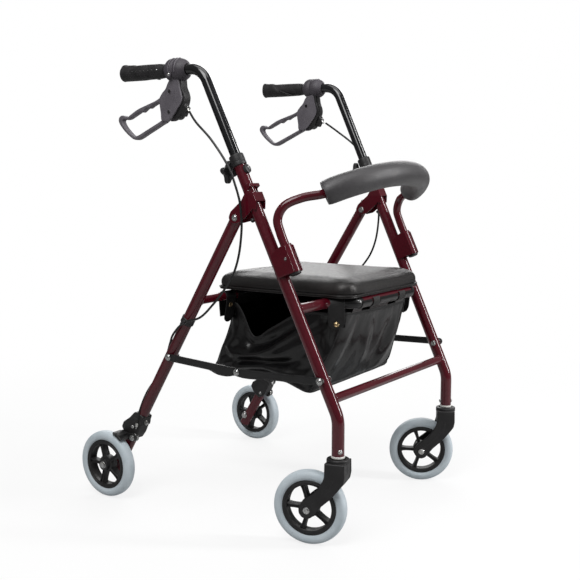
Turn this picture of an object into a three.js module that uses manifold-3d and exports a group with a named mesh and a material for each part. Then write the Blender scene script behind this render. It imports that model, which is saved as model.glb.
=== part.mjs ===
// Rollator walker: folding front and rear frames, side links, telescoping handles with loop brakes,
// two swivel casters, two braked rear wheels, flip-up seat, lift-out backrest and a storage bag.
// Millimetres, +Z up. -Y is the front (casters), +Y the rear (handles and user), +X the user's left.
// Paired parts are built on the +X side and mirrored.
import * as THREE from 'three';
import { mergeVertices } from 'three/addons/utils/BufferGeometryUtils.js';
import Module from 'manifold-3d';

const wasm = await Module();
wasm.setup();

const vec = (x, y, z) => new THREE.Vector3(x, y, z);

// ---------------------------------------------------------------- driving dimensions
const Y_SHIFT = -23.22;              // centres the whole object's box on y = 0
const WHEEL_R = 76.2;                // 6 inch wheels
const TYRE_W = 28;
const REAR_WHEEL = vec(287, 300, WHEEL_R);
const STEM = { x: 250, y: -297 };    // caster stem axis
const TRAIL = 57;                    // caster trail
const SWIVEL = { l: 28.3, r: 14.8 }; // caster angle at rest, degrees about +Z

const LEG_R = 12.7;                  // 25.4 mm frame tube
const LEG_BORE = 11.75;
const HANDLE_R = 11.1;               // 22.2 mm handle tube
const HANDLE_FIT_R = HANDLE_R + 0.5; // bore of the parts slid onto the handle tube
const HANDLE_Z = 955;
const SEAT_TUBE_R = 11.1;
const CROSS_R = 9.5;
const TUBE_WALL = 1.5;               // handle and cross tubes
const BACK_R = 9.3;

const PIVOT = { y: -63, z: 651 };    // main fold pivot
const PIVOT_HOLE_R = 4.4;
const LINK_FRONT = { y: -267, z: 336 };
const LINK_MID = { y: -63, z: 330 };
const LINK_REAR = { y: 127.5, z: 340.5 };
const LINK_HOLE_R = 3.5;             // in the frame tubes
const KNOB = vec(260, -50, 743);
const HOLE_PITCH = 24.5;             // height holes along the handle tube
const LEVER_PIVOT = { y: 105, z: 910.5 };
const SHOE_PIVOT = { y: 237, z: 142 };
const CABLE_START = vec(263, 66.2, 874);

const SEAT = { x: 163, y0: -270, y1: 75, z0: 487, z1: 524 };
const SEAT_HINGE = { y: -262, z: 474 };
const BAG = { x: 132, top: 424, bottom: 270, wall: 2.5 };

// centre line of the slanted part of the front upright, by height
const uprightAt = (z) => vec(250.6 + 0.021 * (z - 300), -279.1 + 0.4669 * (z - 300), z);
const UPRIGHT_DIR = uprightAt(1000).sub(uprightAt(0)).normalize();
const UPRIGHT_FWD = vec(0, -UPRIGHT_DIR.z, UPRIGHT_DIR.y).normalize();
const aheadOfUpright = (z, distance) => uprightAt(z).addScaledVector(UPRIGHT_FWD, distance);

// centre line of the rear leg, by height; its direction points down
const legAt = (z) => vec(250 + 0.01214 * (z - 76.2), 294 - 0.6098 * (z - 76.2), z);
const LEG_DIR = legAt(0).sub(legAt(1000)).normalize();
const LEG_FWD = vec(0, LEG_DIR.z, -LEG_DIR.y).normalize();
const aheadOfLeg = (z, distance) => legAt(z).addScaledVector(LEG_FWD, distance);

// ---------------------------------------------------------------- materials
const standard = (settings) => new THREE.MeshStandardMaterial(settings);
const MATERIALS = {
  frame: standard({ color: 0x551622, roughness: 0.28, metalness: 0.55 }),
  blackGloss: standard({ color: 0x141416, roughness: 0.2, metalness: 0.4 }),
  greyPlastic: standard({ color: 0x46424a, roughness: 0.6, metalness: 0 }),
  blackPlastic: standard({ color: 0x1b1b1c, roughness: 0.55, metalness: 0 }),
  rubber: standard({ color: 0x242324, roughness: 0.75, metalness: 0 }),
  tyre: standard({ color: 0xa9b4ba, roughness: 0.7, metalness: 0 }),
  zinc: standard({ color: 0xc9cbcc, roughness: 0.3, metalness: 0.9 }),
  nylon: standard({ color: 0xe8e8e4, roughness: 0.5, metalness: 0 }),
  foam: standard({ color: 0x4a474a, roughness: 0.85, metalness: 0 }),
  vinyl: standard({ color: 0x1d1c1e, roughness: 0.5, metalness: 0 }),
  bag: standard({ color: 0x151416, roughness: 0.6, metalness: 0 }),
  cable: standard({ color: 0x1a1a1a, roughness: 0.5, metalness: 0 }),
};

// ---------------------------------------------------------------- solids
function toSolid(geometry) {
  const bare = geometry.clone();
  bare.deleteAttribute('normal');
  bare.deleteAttribute('uv');
  const merged = mergeVertices(bare, 1e-3);
  return new wasm.Manifold(new wasm.Mesh({
    numProp: 3,
    vertProperties: new Float32Array(merged.attributes.position.array),
    triVerts: new Uint32Array(merged.index.array),
  }));
}

function toGeometry(solid) {
  const mesh = solid.getMesh();
  const indexed = new THREE.BufferGeometry();
  const positions = new Float32Array(mesh.vertProperties);
  indexed.setAttribute('position', new THREE.BufferAttribute(positions, 3));
  indexed.setIndex(new THREE.BufferAttribute(new Uint32Array(mesh.triVerts), 1));
  const geometry = indexed.toNonIndexed();
  geometry.computeVertexNormals();
  return geometry;
}

const join = (...solids) => solids.reduce((a, b) => a.add(b));
const cut = (body, ...tools) => tools.reduce((a, b) => a.subtract(b), body);

// turns a shape built along +Y to lie along a direction
const aim = (geometry, direction) => geometry.applyQuaternion(
  new THREE.Quaternion().setFromUnitVectors(vec(0, 1, 0), direction.clone().normalize()));

function circle(radius, sides, centreX = 0, centreY = 0) {
  return Array.from({ length: sides }, (_, i) => {
    const angle = i / sides * 2 * Math.PI;
    return new THREE.Vector2(
      radius * Math.cos(angle) + centreX, radius * Math.sin(angle) + centreY);
  });
}

function rod(start, end, radius, sides) {
  const geometry = new THREE.CylinderGeometry(radius, radius, start.distanceTo(end), sides);
  aim(geometry, end.clone().sub(start));
  const middle = start.clone().add(end).multiplyScalar(0.5);
  geometry.translate(middle.x, middle.y, middle.z);
  return toSolid(geometry);
}

const xRod = ({ y, z }, x0, x1, radius, sides) => rod(vec(x0, y, z), vec(x1, y, z), radius, sides);
const yRod = ({ x, z }, y0, y1, radius, sides) => rod(vec(x, y0, z), vec(x, y1, z), radius, sides);

// rod along x, given for the +X side; side is 1 or -1
const xRodOn = (side, at, x0, x1, radius, sides) => (side > 0
  ? xRod(at, x0, x1, radius, sides)
  : xRod(at, -x1, -x0, radius, sides));

// profile of [radius, height] pairs turned about the axis from origin along direction
function turned(profile, origin, direction, sides) {
  const points = profile.map(([radius, height]) => new THREE.Vector2(radius, height));
  const geometry = aim(new THREE.LatheGeometry(points, sides), direction);
  geometry.translate(origin.x, origin.y, origin.z);
  return toSolid(geometry);
}

function box([x0, x1], [y0, y1], [z0, z1]) {
  const geometry = new THREE.BoxGeometry(x1 - x0, y1 - y0, z1 - z0);
  geometry.translate((x0 + x1) / 2, (y0 + y1) / 2, (z0 + z1) / 2);
  return toSolid(geometry);
}

// outline of [y, z] pairs or vectors, extruded from x0 to x1, with an optional round hole
function plate(outline, x0, x1, holeAt, holeRadius) {
  const shape = new THREE.Shape(outline.map((point) => {
    const [y, z] = Array.isArray(point) ? point : [point.y, point.z];
    return new THREE.Vector2(y, z);
  }));
  if (holeAt) shape.holes.push(new THREE.Path(circle(holeRadius, 12, holeAt.y, holeAt.z)));
  const geometry = new THREE.ExtrudeGeometry(shape, { depth: x1 - x0, bevelEnabled: false });
  geometry.applyMatrix4(new THREE.Matrix4().makeBasis(vec(0, 1, 0), vec(0, 0, 1), vec(1, 0, 0)));
  geometry.translate(x0, 0, 0);
  return toSolid(geometry);
}

// ---------------------------------------------------------------- paths and swept tubes
// a path with one ring per listed point, each with its own tangent
class SampledPath extends THREE.Curve {
  constructor(points, tangents) {
    super();
    this.points = points;
    this.tangents = tangents;
  }

  get steps() { return this.points.length - 1; }

  getPointAt(u) { return this.points[Math.round(u * this.steps)].clone(); }

  getTangentAt(u) { return this.tangents[Math.round(u * this.steps)].clone(); }
}

// straight runs with an arc at each corner
function filletPath(corners, radius, stepDegrees) {
  const heading = (i) => corners[i + 1].clone().sub(corners[i]).normalize();
  const last = corners.length - 1;
  const points = [corners[0]];
  const tangents = [heading(0)];
  for (let i = 1; i < last; i++) {
    const before = heading(i - 1);
    const after = heading(i);
    const bend = before.angleTo(after);
    const steps = Math.ceil(bend * 180 / Math.PI / stepDegrees);
    const inward = after.clone().addScaledVector(before, -before.dot(after)).normalize();
    const centre = corners[i].clone()
      .addScaledVector(before, -radius * Math.tan(bend / 2))
      .addScaledVector(inward, radius);
    for (let j = 0; j <= steps; j++) {
      const angle = bend * j / steps;
      points.push(centre.clone()
        .addScaledVector(inward, -radius * Math.cos(angle))
        .addScaledVector(before, radius * Math.sin(angle)));
      tangents.push(before.clone().multiplyScalar(Math.cos(angle))
        .addScaledVector(inward, Math.sin(angle)));
    }
  }
  points.push(corners[last]);
  tangents.push(heading(last - 1));
  return new SampledPath(points, tangents);
}

// tangents taken across each point's neighbours
function chordPath(points) {
  const last = points.length - 1;
  const tangents = points.map((_, i) => points[Math.min(i + 1, last)].clone()
    .sub(points[Math.max(i - 1, 0)]).normalize());
  return new SampledPath(points, tangents);
}

const smoothPath = (points) => new THREE.CatmullRomCurve3(points, false, 'centripetal');

function tube(path, radius, sides, steps = path.steps) {
  const section = new THREE.Shape(circle(radius, sides));
  return toSolid(new THREE.ExtrudeGeometry(section, {
    steps, extrudePath: path, bevelEnabled: false,
  }));
}

const onSide = (side, point) => vec(point.x * side, point.y, point.z);
// the same points on the -X side, in reverse order
const mirrored = (points) => points.map((point) => onSide(-1, point)).reverse();

// ---------------------------------------------------------------- scene graph
const root = new THREE.Group();
root.position.y = Y_SHIFT;

function addGeometry(name, geometry, material, parent = root) {
  const mesh = new THREE.Mesh(geometry, material);
  mesh.name = name;
  parent.add(mesh);
}

function add(name, solid, material, parent) {
  addGeometry(name, toGeometry(solid), material, parent);
}

function mirrorGeometry(original) {
  const geometry = original.clone();
  geometry.scale(-1, 1, 1);
  const array = geometry.attributes.position.array;
  // swap two corners of each triangle so it still faces outward
  for (let i = 0; i < array.length; i += 9) {
    for (let k = 3; k < 6; k++) {
      [array[i + k], array[i + k + 3]] = [array[i + k + 3], array[i + k]];
    }
  }
  geometry.computeVertexNormals();
  return geometry;
}

function addPair(name, solid, material) {
  const geometry = toGeometry(solid);
  addGeometry(`${name}_l`, geometry, material);
  addGeometry(`${name}_r`, mirrorGeometry(geometry), material);
}

// ---------------------------------------------------------------- front and rear frames
// cross tube between a centre line and its mirror image, and its bore, short at each end
const crossTube = (end) => xRod(end, -end.x, end.x, CROSS_R, 12);
const crossBore = (end, inset) => xRod(
  end, -end.x + inset, end.x - inset, CROSS_R - TUBE_WALL, 6);

function frontFrame() {
  const BEND = { z: 261.7, radius: 70 };
  const uprightPath = (side, bottom, top, step) => filletPath([
    vec(side * STEM.x, STEM.y, bottom),
    vec(side * STEM.x, STEM.y, BEND.z),
    onSide(side, uprightAt(top)),
  ], BEND.radius, step);
  const outer = (side) => tube(uprightPath(side, 187, 770, 9), LEG_R, 14);
  const bore = (side) => tube(uprightPath(side, 180, 780, 13), LEG_BORE, 14);

  const seatEnd = uprightAt(471);
  const seatTube = (inset, step, radius, sides) => {
    const half = [
      vec(seatEnd.x - inset, seatEnd.y, seatEnd.z),
      vec(152, -207, 473),
      vec(128, SEAT_HINGE.y, SEAT_HINGE.z),
    ];
    return tube(filletPath([...half, ...mirrored(half)], 30, step), radius, sides);
  };

  const crossEnd = uprightAt(297);
  let body = join(outer(1), outer(-1), crossTube(crossEnd), seatTube(0, 24, SEAT_TUBE_R, 12));
  body = cut(body, bore(1), bore(-1), crossBore(crossEnd, 4),
    seatTube(4, 35, SEAT_TUBE_R - 1.8, 6));
  for (const side of [1, -1]) {
    body = cut(body,
      // knob bolt hole, rear wall only
      yRod(onSide(side, KNOB), KNOB.y + 10, KNOB.y - 16, 3.5, 6),
      xRodOn(side, LINK_FRONT, 230, 280, LINK_HOLE_R, 8));
  }
  return body;
}
add('front_frame', frontFrame(), MATERIALS.frame);

function rearFrame() {
  const legRod = (side, top, bottom, radius, sides) => rod(
    onSide(side, legAt(top)), onSide(side, legAt(bottom)), radius, sides);
  const outer = (side) => legRod(side, 667, 52, LEG_R, 14);
  const bore = (side) => legRod(side, 672, 48, LEG_BORE, 8);
  const crossEnd = legAt(470);
  let body = join(outer(1), outer(-1), crossTube(crossEnd));
  body = cut(body, bore(1), bore(-1), crossBore(crossEnd, 3));
  for (const side of [1, -1]) {
    body = cut(body,
      xRodOn(side, PIVOT, 225, 285, PIVOT_HOLE_R, 12),
      xRodOn(side, LINK_REAR, 225, 285, LINK_HOLE_R, 8),
      xRodOn(side, REAR_WHEEL, 225, 285, 4.5, 8));
  }
  return body;
}
add('rear_frame', rearFrame(), MATERIALS.frame);

// ---------------------------------------------------------------- hinge bracket
// folded saddle: two side plates and a web across the front of the upright
function hingeBracket() {
  const WEB = { low: 664, high: 720, back: 14.6, front: 17.4 };
  const sideOutline = [ // [y, z]
    [-87, 700], [-79.5, 686], [-50, 662], [-48, 650], [-58, 640], [-78, 642], [-109, 672],
    aheadOfUpright(662, 8), aheadOfUpright(WEB.low, WEB.front),
    aheadOfUpright(WEB.high, WEB.front), aheadOfUpright(722, 4),
  ];
  const webOutline = [
    aheadOfUpright(WEB.low, WEB.back), aheadOfUpright(WEB.low, WEB.front),
    aheadOfUpright(WEB.high, WEB.front), aheadOfUpright(WEB.high, WEB.back),
  ];
  return join(
    plate(sideOutline, 272.7, 275.1, PIVOT, PIVOT_HOLE_R),
    plate(sideOutline, 241.2, 243.7, PIVOT, PIVOT_HOLE_R),
    plate(webOutline, 242, 274));
}
addPair('hinge_bracket', hingeBracket(), MATERIALS.frame);

// ---------------------------------------------------------------- backrest bracket and button
const BACK_OFFSET = 32;
// backrest tube in its sleeve; x is fixed so the sleeves are parallel and the backrest can lift
const backAt = (z) => aheadOfUpright(z, BACK_OFFSET).setX(256);
const BUTTON = backAt(560);
const BUTTON_HOLE_R = 4.1;

// block with a sleeve, on the front of the upright
function backrestBracket() {
  const sleeve = rod(backAt(532), backAt(585), 12.2, 12);
  const block = plate([
    aheadOfUpright(537, -6), aheadOfUpright(580, -6),
    aheadOfUpright(583, 30), aheadOfUpright(534, 30),
  ], 240.4, 272.2);
  return cut(join(sleeve, block),
    rod(uprightAt(500), uprightAt(640), LEG_R + 0.8, 12),
    rod(backAt(500), backAt(640), BACK_R + 0.7, 12),
    xRod(BUTTON, BUTTON.x, 280, BUTTON_HOLE_R, 8));
}
addPair('backrest_bracket', backrestBracket(), MATERIALS.frame);
addPair('backrest_button', xRod(BUTTON, BUTTON.x + BACK_R + 0.55, 274, 3.4, 8), MATERIALS.zinc);

// ---------------------------------------------------------------- backrest tube and foam pad
const PAD = {
  halfAngle: 1.1,
  radius: 26.6,
  end: vec(187.4, -224.3, 700.5),
  middle: vec(0, -303.5, 741),
};
// centre line of the pad, u from -1 (-X end) to 1 (+X end)
function padAt(u) {
  const angle = u * PAD.halfAngle;
  const rise = (Math.cos(angle) - Math.cos(PAD.halfAngle)) / (1 - Math.cos(PAD.halfAngle));
  return vec(
    PAD.end.x * Math.sin(angle) / Math.sin(PAD.halfAngle),
    PAD.end.y + (PAD.middle.y - PAD.end.y) * rise,
    PAD.end.z + (PAD.middle.z - PAD.end.z) * rise);
}
// evenly spaced points along the pad, from +X to -X
const padPoints = (steps) => Array.from({ length: steps + 1 }, (_, i) => padAt(1 - 2 * i / steps));

function backrestTube() {
  const half = [
    backAt(540), backAt(575), backAt(610),
    vec(254.5, -155.5, 650), vec(247, -166, 676), vec(224, -193, 692),
  ];
  const path = smoothPath([...half, ...padPoints(8), ...mirrored(half)]);
  return cut(tube(path, BACK_R, 10, 40),
    xRodOn(1, BUTTON, 257, 280, BUTTON_HOLE_R, 8),
    xRodOn(-1, BUTTON, 257, 280, BUTTON_HOLE_R, 8));
}
add('backrest_tube', backrestTube(), MATERIALS.frame);

function backrestPad() {
  const points = padPoints(12);
  const beyond = (end, next) => end.clone().add(end.clone().sub(next).multiplyScalar(0.4));
  const borePoints = [beyond(points[0], points[1]), ...points, beyond(points[12], points[11])];
  return cut(
    tube(chordPath(points), PAD.radius, 12),
    tube(chordPath(borePoints), BACK_R + 2.2, 8));
}
add('backrest_pad', backrestPad(), MATERIALS.foam);

// ---------------------------------------------------------------- handle and height adjustment
const HANDLE_CORNER = uprightAt(HANDLE_Z);

const COLLAR_PROFILE = [ // [radius, height]
  [13.35, 0], [15.6, 0], [15.6, 22], [11.9, 22], [11.9, 14.6], [13.35, 14.6], [13.35, 0],
];
addPair('height_collar', turned(COLLAR_PROFILE, uprightAt(757), UPRIGHT_DIR, 14),
  MATERIALS.blackPlastic);

function handleTube() {
  const path = (bottom, rearEnd, step) => filletPath([
    uprightAt(bottom), HANDLE_CORNER, vec(HANDLE_CORNER.x, rearEnd, HANDLE_Z),
  ], 45, step);
  let body = cut(
    tube(path(618, 238, 14), HANDLE_R, 14),
    tube(path(612, 246, 22), HANDLE_R - TUBE_WALL, 7));
  const HOLES = { count: 9, belowKnob: 2 };
  for (let i = 0; i < HOLES.count; i++) {
    const start = uprightAt(KNOB.z - 4.5)
      .addScaledVector(UPRIGHT_DIR, HOLE_PITCH * (i - HOLES.belowKnob));
    body = cut(body, yRod(start, start.y, start.y + 20, 3.3, 6));
  }
  return body;
}
addPair('handle_tube', handleTube(), MATERIALS.blackGloss);

// closed at the rear end
const GRIP = { y: 121, radius: 16.5, length: 122, depth: 118.2 };
const GRIP_PROFILE = [ // [radius, height]
  [HANDLE_FIT_R, 0], [14.5, 0], [GRIP.radius, 30], [GRIP.radius + 0.6, 117],
  [GRIP.radius - 0.6, GRIP.length], [0, GRIP.length],
  [0, GRIP.depth], [HANDLE_FIT_R, GRIP.depth], [HANDLE_FIT_R, 0],
];
addPair('grip', turned(GRIP_PROFILE, vec(HANDLE_CORNER.x, GRIP.y, HANDLE_Z), vec(0, 1, 0), 14),
  MATERIALS.rubber);

// four lobed knob on a horizontal bolt
function heightKnob() {
  const LOBES = { points: 24, valleyR: 15.5, rise: 7.5, turn: 0.17, sharpness: 1.6, depth: 11 };
  const outline = Array.from({ length: LOBES.points }, (_, i) => {
    const angle = i / LOBES.points * 2 * Math.PI;
    const wave = Math.abs(Math.cos(2 * (angle - LOBES.turn))) ** LOBES.sharpness;
    const radius = LOBES.valleyR + LOBES.rise * wave;
    return new THREE.Vector2(radius * Math.cos(angle), radius * Math.sin(angle));
  });
  const head = new THREE.ExtrudeGeometry(new THREE.Shape(outline), {
    depth: LOBES.depth, bevelEnabled: false,
  });
  head.rotateX(Math.PI / 2);
  head.translate(KNOB.x, KNOB.y + 18, KNOB.z);
  const bolt = yRod(KNOB, KNOB.y - 7.9, KNOB.y + 4, 3, 8);
  const hub = yRod(KNOB, KNOB.y - 3.6, KNOB.y + 8, 7, 10);
  return join(toSolid(head), bolt, hub);
}
addPair('height_knob', heightKnob(), MATERIALS.blackPlastic);

// ---------------------------------------------------------------- brake housing and loop lever
const HOUSING_OUTLINE = [ // [y, z]
  [104, 945], [80, 945], [79, 921], [70.5, 896], [80, 872], [92, 855],
  [101, 858], [105, 882], [112, 900], [112, 918], [105, 930],
];
function brakeHousing() {
  const FACE_X = 271.6; // outer face, where the lever cheek lies
  const clamp = yRod(HANDLE_CORNER, 68, 112, 22, 16);
  const body = plate(HOUSING_OUTLINE, 250, FACE_X);
  const cableBoss = yRod(CABLE_START, 68, 82, 4.5, 10);
  const housing = cut(join(clamp, body, cableBoss),
    yRod(HANDLE_CORNER, 60, 120, HANDLE_FIT_R, 12),
    box([FACE_X, 300], [50, 125], [880, 948]));
  const pin = xRod(LEVER_PIVOT, 262, 277.6, 3.6, 12);
  return join(housing, pin);
}
addPair('brake_housing', brakeHousing(), MATERIALS.blackPlastic);

const LEVER_OUTLINES = { // [y, z]
  cheek: [
    [103, 936], [82, 936], [79.5, 921], [71.5, 897], [83, 874], [101, 856],
    [112, 851], [140, 851], [141, 884], [135, 900], [116, 917], [105, 930],
  ],
  loop: [
    [120, 853], [160, 831], [203, 812], [220, 816], [243, 832], [260, 852], [258, 862],
    [248, 867], [234, 864], [204, 878], [146, 895], [134, 901], [123, 900],
  ],
  opening: [
    [139, 853], [144, 848.5], [205, 824], [217, 825], [232, 838],
    [233, 853], [207, 857], [187, 869], [141, 884],
  ],
  bridge: [[122, 855], [136, 850], [139, 872], [138, 898], [124, 900]],
};
function brakeLever() {
  const cheek = plate(LEVER_OUTLINES.cheek, 272, 277, LEVER_PIVOT, 4);
  const loop = plate(LEVER_OUTLINES.loop, 257, 271);
  const bridge = plate(LEVER_OUTLINES.bridge, 257, 277);
  return cut(join(cheek, loop, bridge), plate(LEVER_OUTLINES.opening, 250, 276));
}
addPair('brake_lever', brakeLever(), MATERIALS.greyPlastic);

// ---------------------------------------------------------------- pivot bolts and side links
// sections: [x0, x1, radius]
const bolt = (at, sections, sides) => join(
  ...sections.map(([x0, x1, radius]) => xRod(at, x0, x1, radius, sides)));

const BOLTS = [ // name, place, sections
  ['pivot_bolt', PIVOT, [[236.4, 241, 7.5], [240.5, 276, 4], [275.4, 279.6, 8]]],
  ['link_bolt_front', LINK_FRONT,
    [[234, 238.6, 5.5], [238, 274, 3], [264.9, 269.5, 6], [273.1, 276.8, 7.5]]],
  ['link_bolt_rear', LINK_REAR, [[235.5, 240, 5.5], [239, 270, 3], [269.7, 273.4, 7.5]]],
  ['link_bolt_mid', LINK_MID, [[269.9, 274, 3], [273.1, 276.8, 7.5]]],
];
for (const [name, at, sections] of BOLTS) addPair(name, bolt(at, sections, 10), MATERIALS.zinc);

// round-ended bar with a hole at each end and an optional tab outline
function link(start, end, x0, tab) {
  const LINK = { thickness: 3, height: 16, holeR: 3.4, arcSteps: 6 };
  const x1 = x0 + LINK.thickness;
  const along = new THREE.Vector2(end.y - start.y, end.z - start.z).normalize();
  const across = new THREE.Vector2(-along.y, along.x);
  const outline = [];
  for (const [centre, firstAngle] of [[end, 0], [start, Math.PI]]) {
    for (let i = 0; i <= LINK.arcSteps; i++) {
      const angle = firstAngle + Math.PI * i / LINK.arcSteps;
      const offset = across.clone().multiplyScalar(Math.cos(angle))
        .addScaledVector(along, Math.sin(angle))
        .multiplyScalar(LINK.height / 2);
      outline.push([centre.y + offset.x, centre.z + offset.y]);
    }
  }
  let body = plate(outline, x0, x1);
  if (tab) body = join(body, plate(tab, x0, x1));
  return cut(body,
    xRod(start, x0 - 2, x1 + 2, LINK.holeR, 12),
    xRod(end, x0 - 2, x1 + 2, LINK.holeR, 12));
}
const REAR_LINK_TAB = [[-38, 324], [-24, 316], [-10, 316], [2, 326]]; // [y, z]
addPair('front_link', link(LINK_FRONT, LINK_MID, 269.8), MATERIALS.blackPlastic);
addPair('rear_link', link(LINK_MID, LINK_REAR, 266.4, REAR_LINK_TAB), MATERIALS.blackPlastic);

// ---------------------------------------------------------------- wheels
const X_AXIS = vec(1, 0, 0);
const AXLE_HOLE_R = 4.6;
const RIM_PROFILE = [[47, -11.5], [56.6, -11.5], [56.6, 11.5], [47, 11.5], [47, -11.5]];
const TYRE_PROFILE = [ // [radius, width position]
  [57, -10.5], [64, -TYRE_W / 2], [72, -12.2], [WHEEL_R, -4], [WHEEL_R, 4],
  [72, 12.2], [64, TYRE_W / 2], [57, 10.5], [57, -10.5],
];
const tyre = (centre) => turned(TYRE_PROFILE, centre, X_AXIS, 28);

// rim, hub, boss and five spokes
function wheel(centre, hubHalfWidth) {
  const SPOKES = { count: 5, phase: 0.3, width: 8.5, thickness: 15, length: 34, radius: 31.5 };
  const disc = (halfWidth, radius, sides) => xRod(
    centre, centre.x - halfWidth, centre.x + halfWidth, radius, sides);
  let body = join(
    turned(RIM_PROFILE, centre, X_AXIS, 28), disc(hubHalfWidth, 13.5, 12), disc(8, 19, 12));
  for (let i = 0; i < SPOKES.count; i++) {
    const spoke = new THREE.BoxGeometry(SPOKES.width, SPOKES.thickness, SPOKES.length);
    spoke.translate(0, 0, SPOKES.radius);
    spoke.rotateY(i * 2 * Math.PI / SPOKES.count + SPOKES.phase);
    aim(spoke, X_AXIS);
    spoke.translate(centre.x, centre.y, centre.z);
    body = join(body, toSolid(spoke));
  }
  return cut(body, disc(40, AXLE_HOLE_R, 8));
}

const REAR_AXLE = [[232.8, 236.9, 7.5], [236, 305, 4], [264.2, 269.6, 7], [304.4, 308, 7.5]];
addPair('rear_wheel', wheel(REAR_WHEEL, 17), MATERIALS.blackPlastic);
addPair('rear_tyre', tyre(REAR_WHEEL), MATERIALS.tyre);
addPair('rear_axle', bolt(REAR_WHEEL, REAR_AXLE, 8), MATERIALS.zinc);

// ---------------------------------------------------------------- casters
// in the caster's own frame: stem on the z axis, wheel trailing along +Y
const CASTER_WHEEL = vec(0, TRAIL, WHEEL_R);
const CASTER_AXLE = [[-31, -27.3, 7], [-28, 28, 4], [27.3, 31, 7]];
const FORK_ARM = [ // [y, z]
  [-21, 178], [-21, 150], [-17, 136], [8, 104], [30, 84], [41, 70], [48, 62], [58, 60],
  [68, 63], [73, 72], [73, 82], [68, 92], [44, 112], [30, 128], [21, 146], [21, 178],
];
const BUSH_PROFILE = [ // [radius, z]
  [6.5, 182.3], [14, 182.3], [14, 186.7], [11.3, 186.7], [11.3, 232], [6.5, 232], [6.5, 182.3],
];

function casterFork() {
  const ARM = { inner: 20.6, outer: 27 };
  const zRod = (z0, z1, radius, sides) => rod(vec(0, 0, z0), vec(0, 0, z1), radius, sides);
  const body = join(
    plate(FORK_ARM, -ARM.outer, -ARM.inner),
    plate(FORK_ARM, ARM.inner, ARM.outer),
    zRod(152, 182, 21.5, 14),
    box([-25, 25], [-20, 20], [126, 176]),
    zRod(170, 236, 6, 8));
  return cut(body,
    xRod(CASTER_WHEEL, -ARM.inner, ARM.inner, 80.5, 24), // room for the wheel
    xRod(CASTER_WHEEL, -40, 40, AXLE_HOLE_R, 8));
}

for (const [tag, side] of [['l', 1], ['r', -1]]) {
  const stemBase = vec(side * STEM.x, STEM.y, 0);
  const caster = new THREE.Group();
  caster.position.copy(stemBase);
  caster.rotation.z = SWIVEL[tag] * Math.PI / 180;
  root.add(caster);
  add(`caster_fork_${tag}`, casterFork(), MATERIALS.blackPlastic, caster);
  add(`caster_wheel_${tag}`, wheel(CASTER_WHEEL, 17.5), MATERIALS.blackPlastic, caster);
  add(`caster_tyre_${tag}`, tyre(CASTER_WHEEL), MATERIALS.tyre, caster);
  add(`caster_axle_${tag}`, bolt(CASTER_WHEEL, CASTER_AXLE, 8), MATERIALS.zinc, caster);
  add(`stem_bush_${tag}`, turned(BUSH_PROFILE, stemBase, vec(0, 0, 1), 12), MATERIALS.nylon);
}

// ---------------------------------------------------------------- rear wheel brakes
function brakeBracket() {
  const outline = [ // height on the leg, distance ahead of it
    [198, 14], [192, -15], [138, -15], [132, 10], [146, 24], [160, 24],
  ].map(([z, ahead]) => aheadOfLeg(z, ahead));
  const body = cut(plate(outline, 234.5, 265.6), rod(legAt(90), legAt(240), LEG_R + 0.5, 16));
  return join(body, xRod(SHOE_PIVOT, 262, 272.6, 3.6, 8));
}
addPair('brake_bracket', brakeBracket(), MATERIALS.blackPlastic);

// a curved shoe over the tyre, on an arm beside the wheel
function brakeShoe() {
  const SHOE = { innerR: 78.5, outerR: 89, startDeg: 107, endDeg: 129, steps: 5 };
  const aroundWheel = (radius, degrees) => [
    REAR_WHEEL.y + radius * Math.cos(degrees * Math.PI / 180),
    REAR_WHEEL.z + radius * Math.sin(degrees * Math.PI / 180),
  ];
  const arc = (radius) => Array.from({ length: SHOE.steps + 1 }, (_, i) => aroundWheel(
    radius, SHOE.startDeg + (SHOE.endDeg - SHOE.startDeg) * i / SHOE.steps));
  const armOutline = [ // [y, z]
    [229, 140], [233, 134], [241, 134],
    aroundWheel(80, 129), aroundWheel(80, 110), aroundWheel(91, 108), aroundWheel(94, 118),
    [238, 152], [230, 148],
  ];
  return join(
    plate([...arc(SHOE.innerR), ...arc(SHOE.outerR).reverse()], 272, 298),
    plate(armOutline, 266.2, 273, SHOE_PIVOT, 4));
}
addPair('brake_shoe', brakeShoe(), MATERIALS.blackPlastic);

// brake cable: from the housing, past the knob, down the rear leg
const CABLE_POINTS = [
  CABLE_START, vec(264, 35, 830), vec(268, -2, 780), vec(275, -27, 736), vec(281, -40, 700),
  vec(285, -46, 664), vec(285, -43, 620), vec(284, -25, 560), vec(280, 8, 505),
  vec(276, 42, 464), vec(273, 80, 424), vec(273, 120, 372), vec(275, 150, 345),
  vec(275, 160, 318), vec(271, 190, 262), vec(269, 214, 210), vec(269, 226, 170),
];
addPair('brake_cable', tube(smoothPath(CABLE_POINTS), 2.4, 5, 24), MATERIALS.cable);

// ---------------------------------------------------------------- seat
// seat plan, inset all round; the rear corners have half the front corners' radius
function seatOutline(inset, frontR) {
  const x = SEAT.x - inset;
  const y0 = SEAT.y0 + inset;
  const y1 = SEAT.y1 - inset;
  const rearR = frontR / 2;
  const shape = new THREE.Shape();
  shape.moveTo(-x + frontR, y0);
  shape.lineTo(x - frontR, y0);
  shape.absarc(x - frontR, y0 + frontR, frontR, -Math.PI / 2, 0);
  shape.lineTo(x, y1 - rearR);
  shape.absarc(x - rearR, y1 - rearR, rearR, 0, Math.PI / 2);
  shape.lineTo(-x + rearR, y1);
  shape.absarc(-x + rearR, y1 - rearR, rearR, Math.PI / 2, Math.PI);
  shape.lineTo(-x, y0 + frontR);
  shape.absarc(-x + frontR, y0 + frontR, frontR, Math.PI, 1.5 * Math.PI);
  return shape;
}

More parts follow.
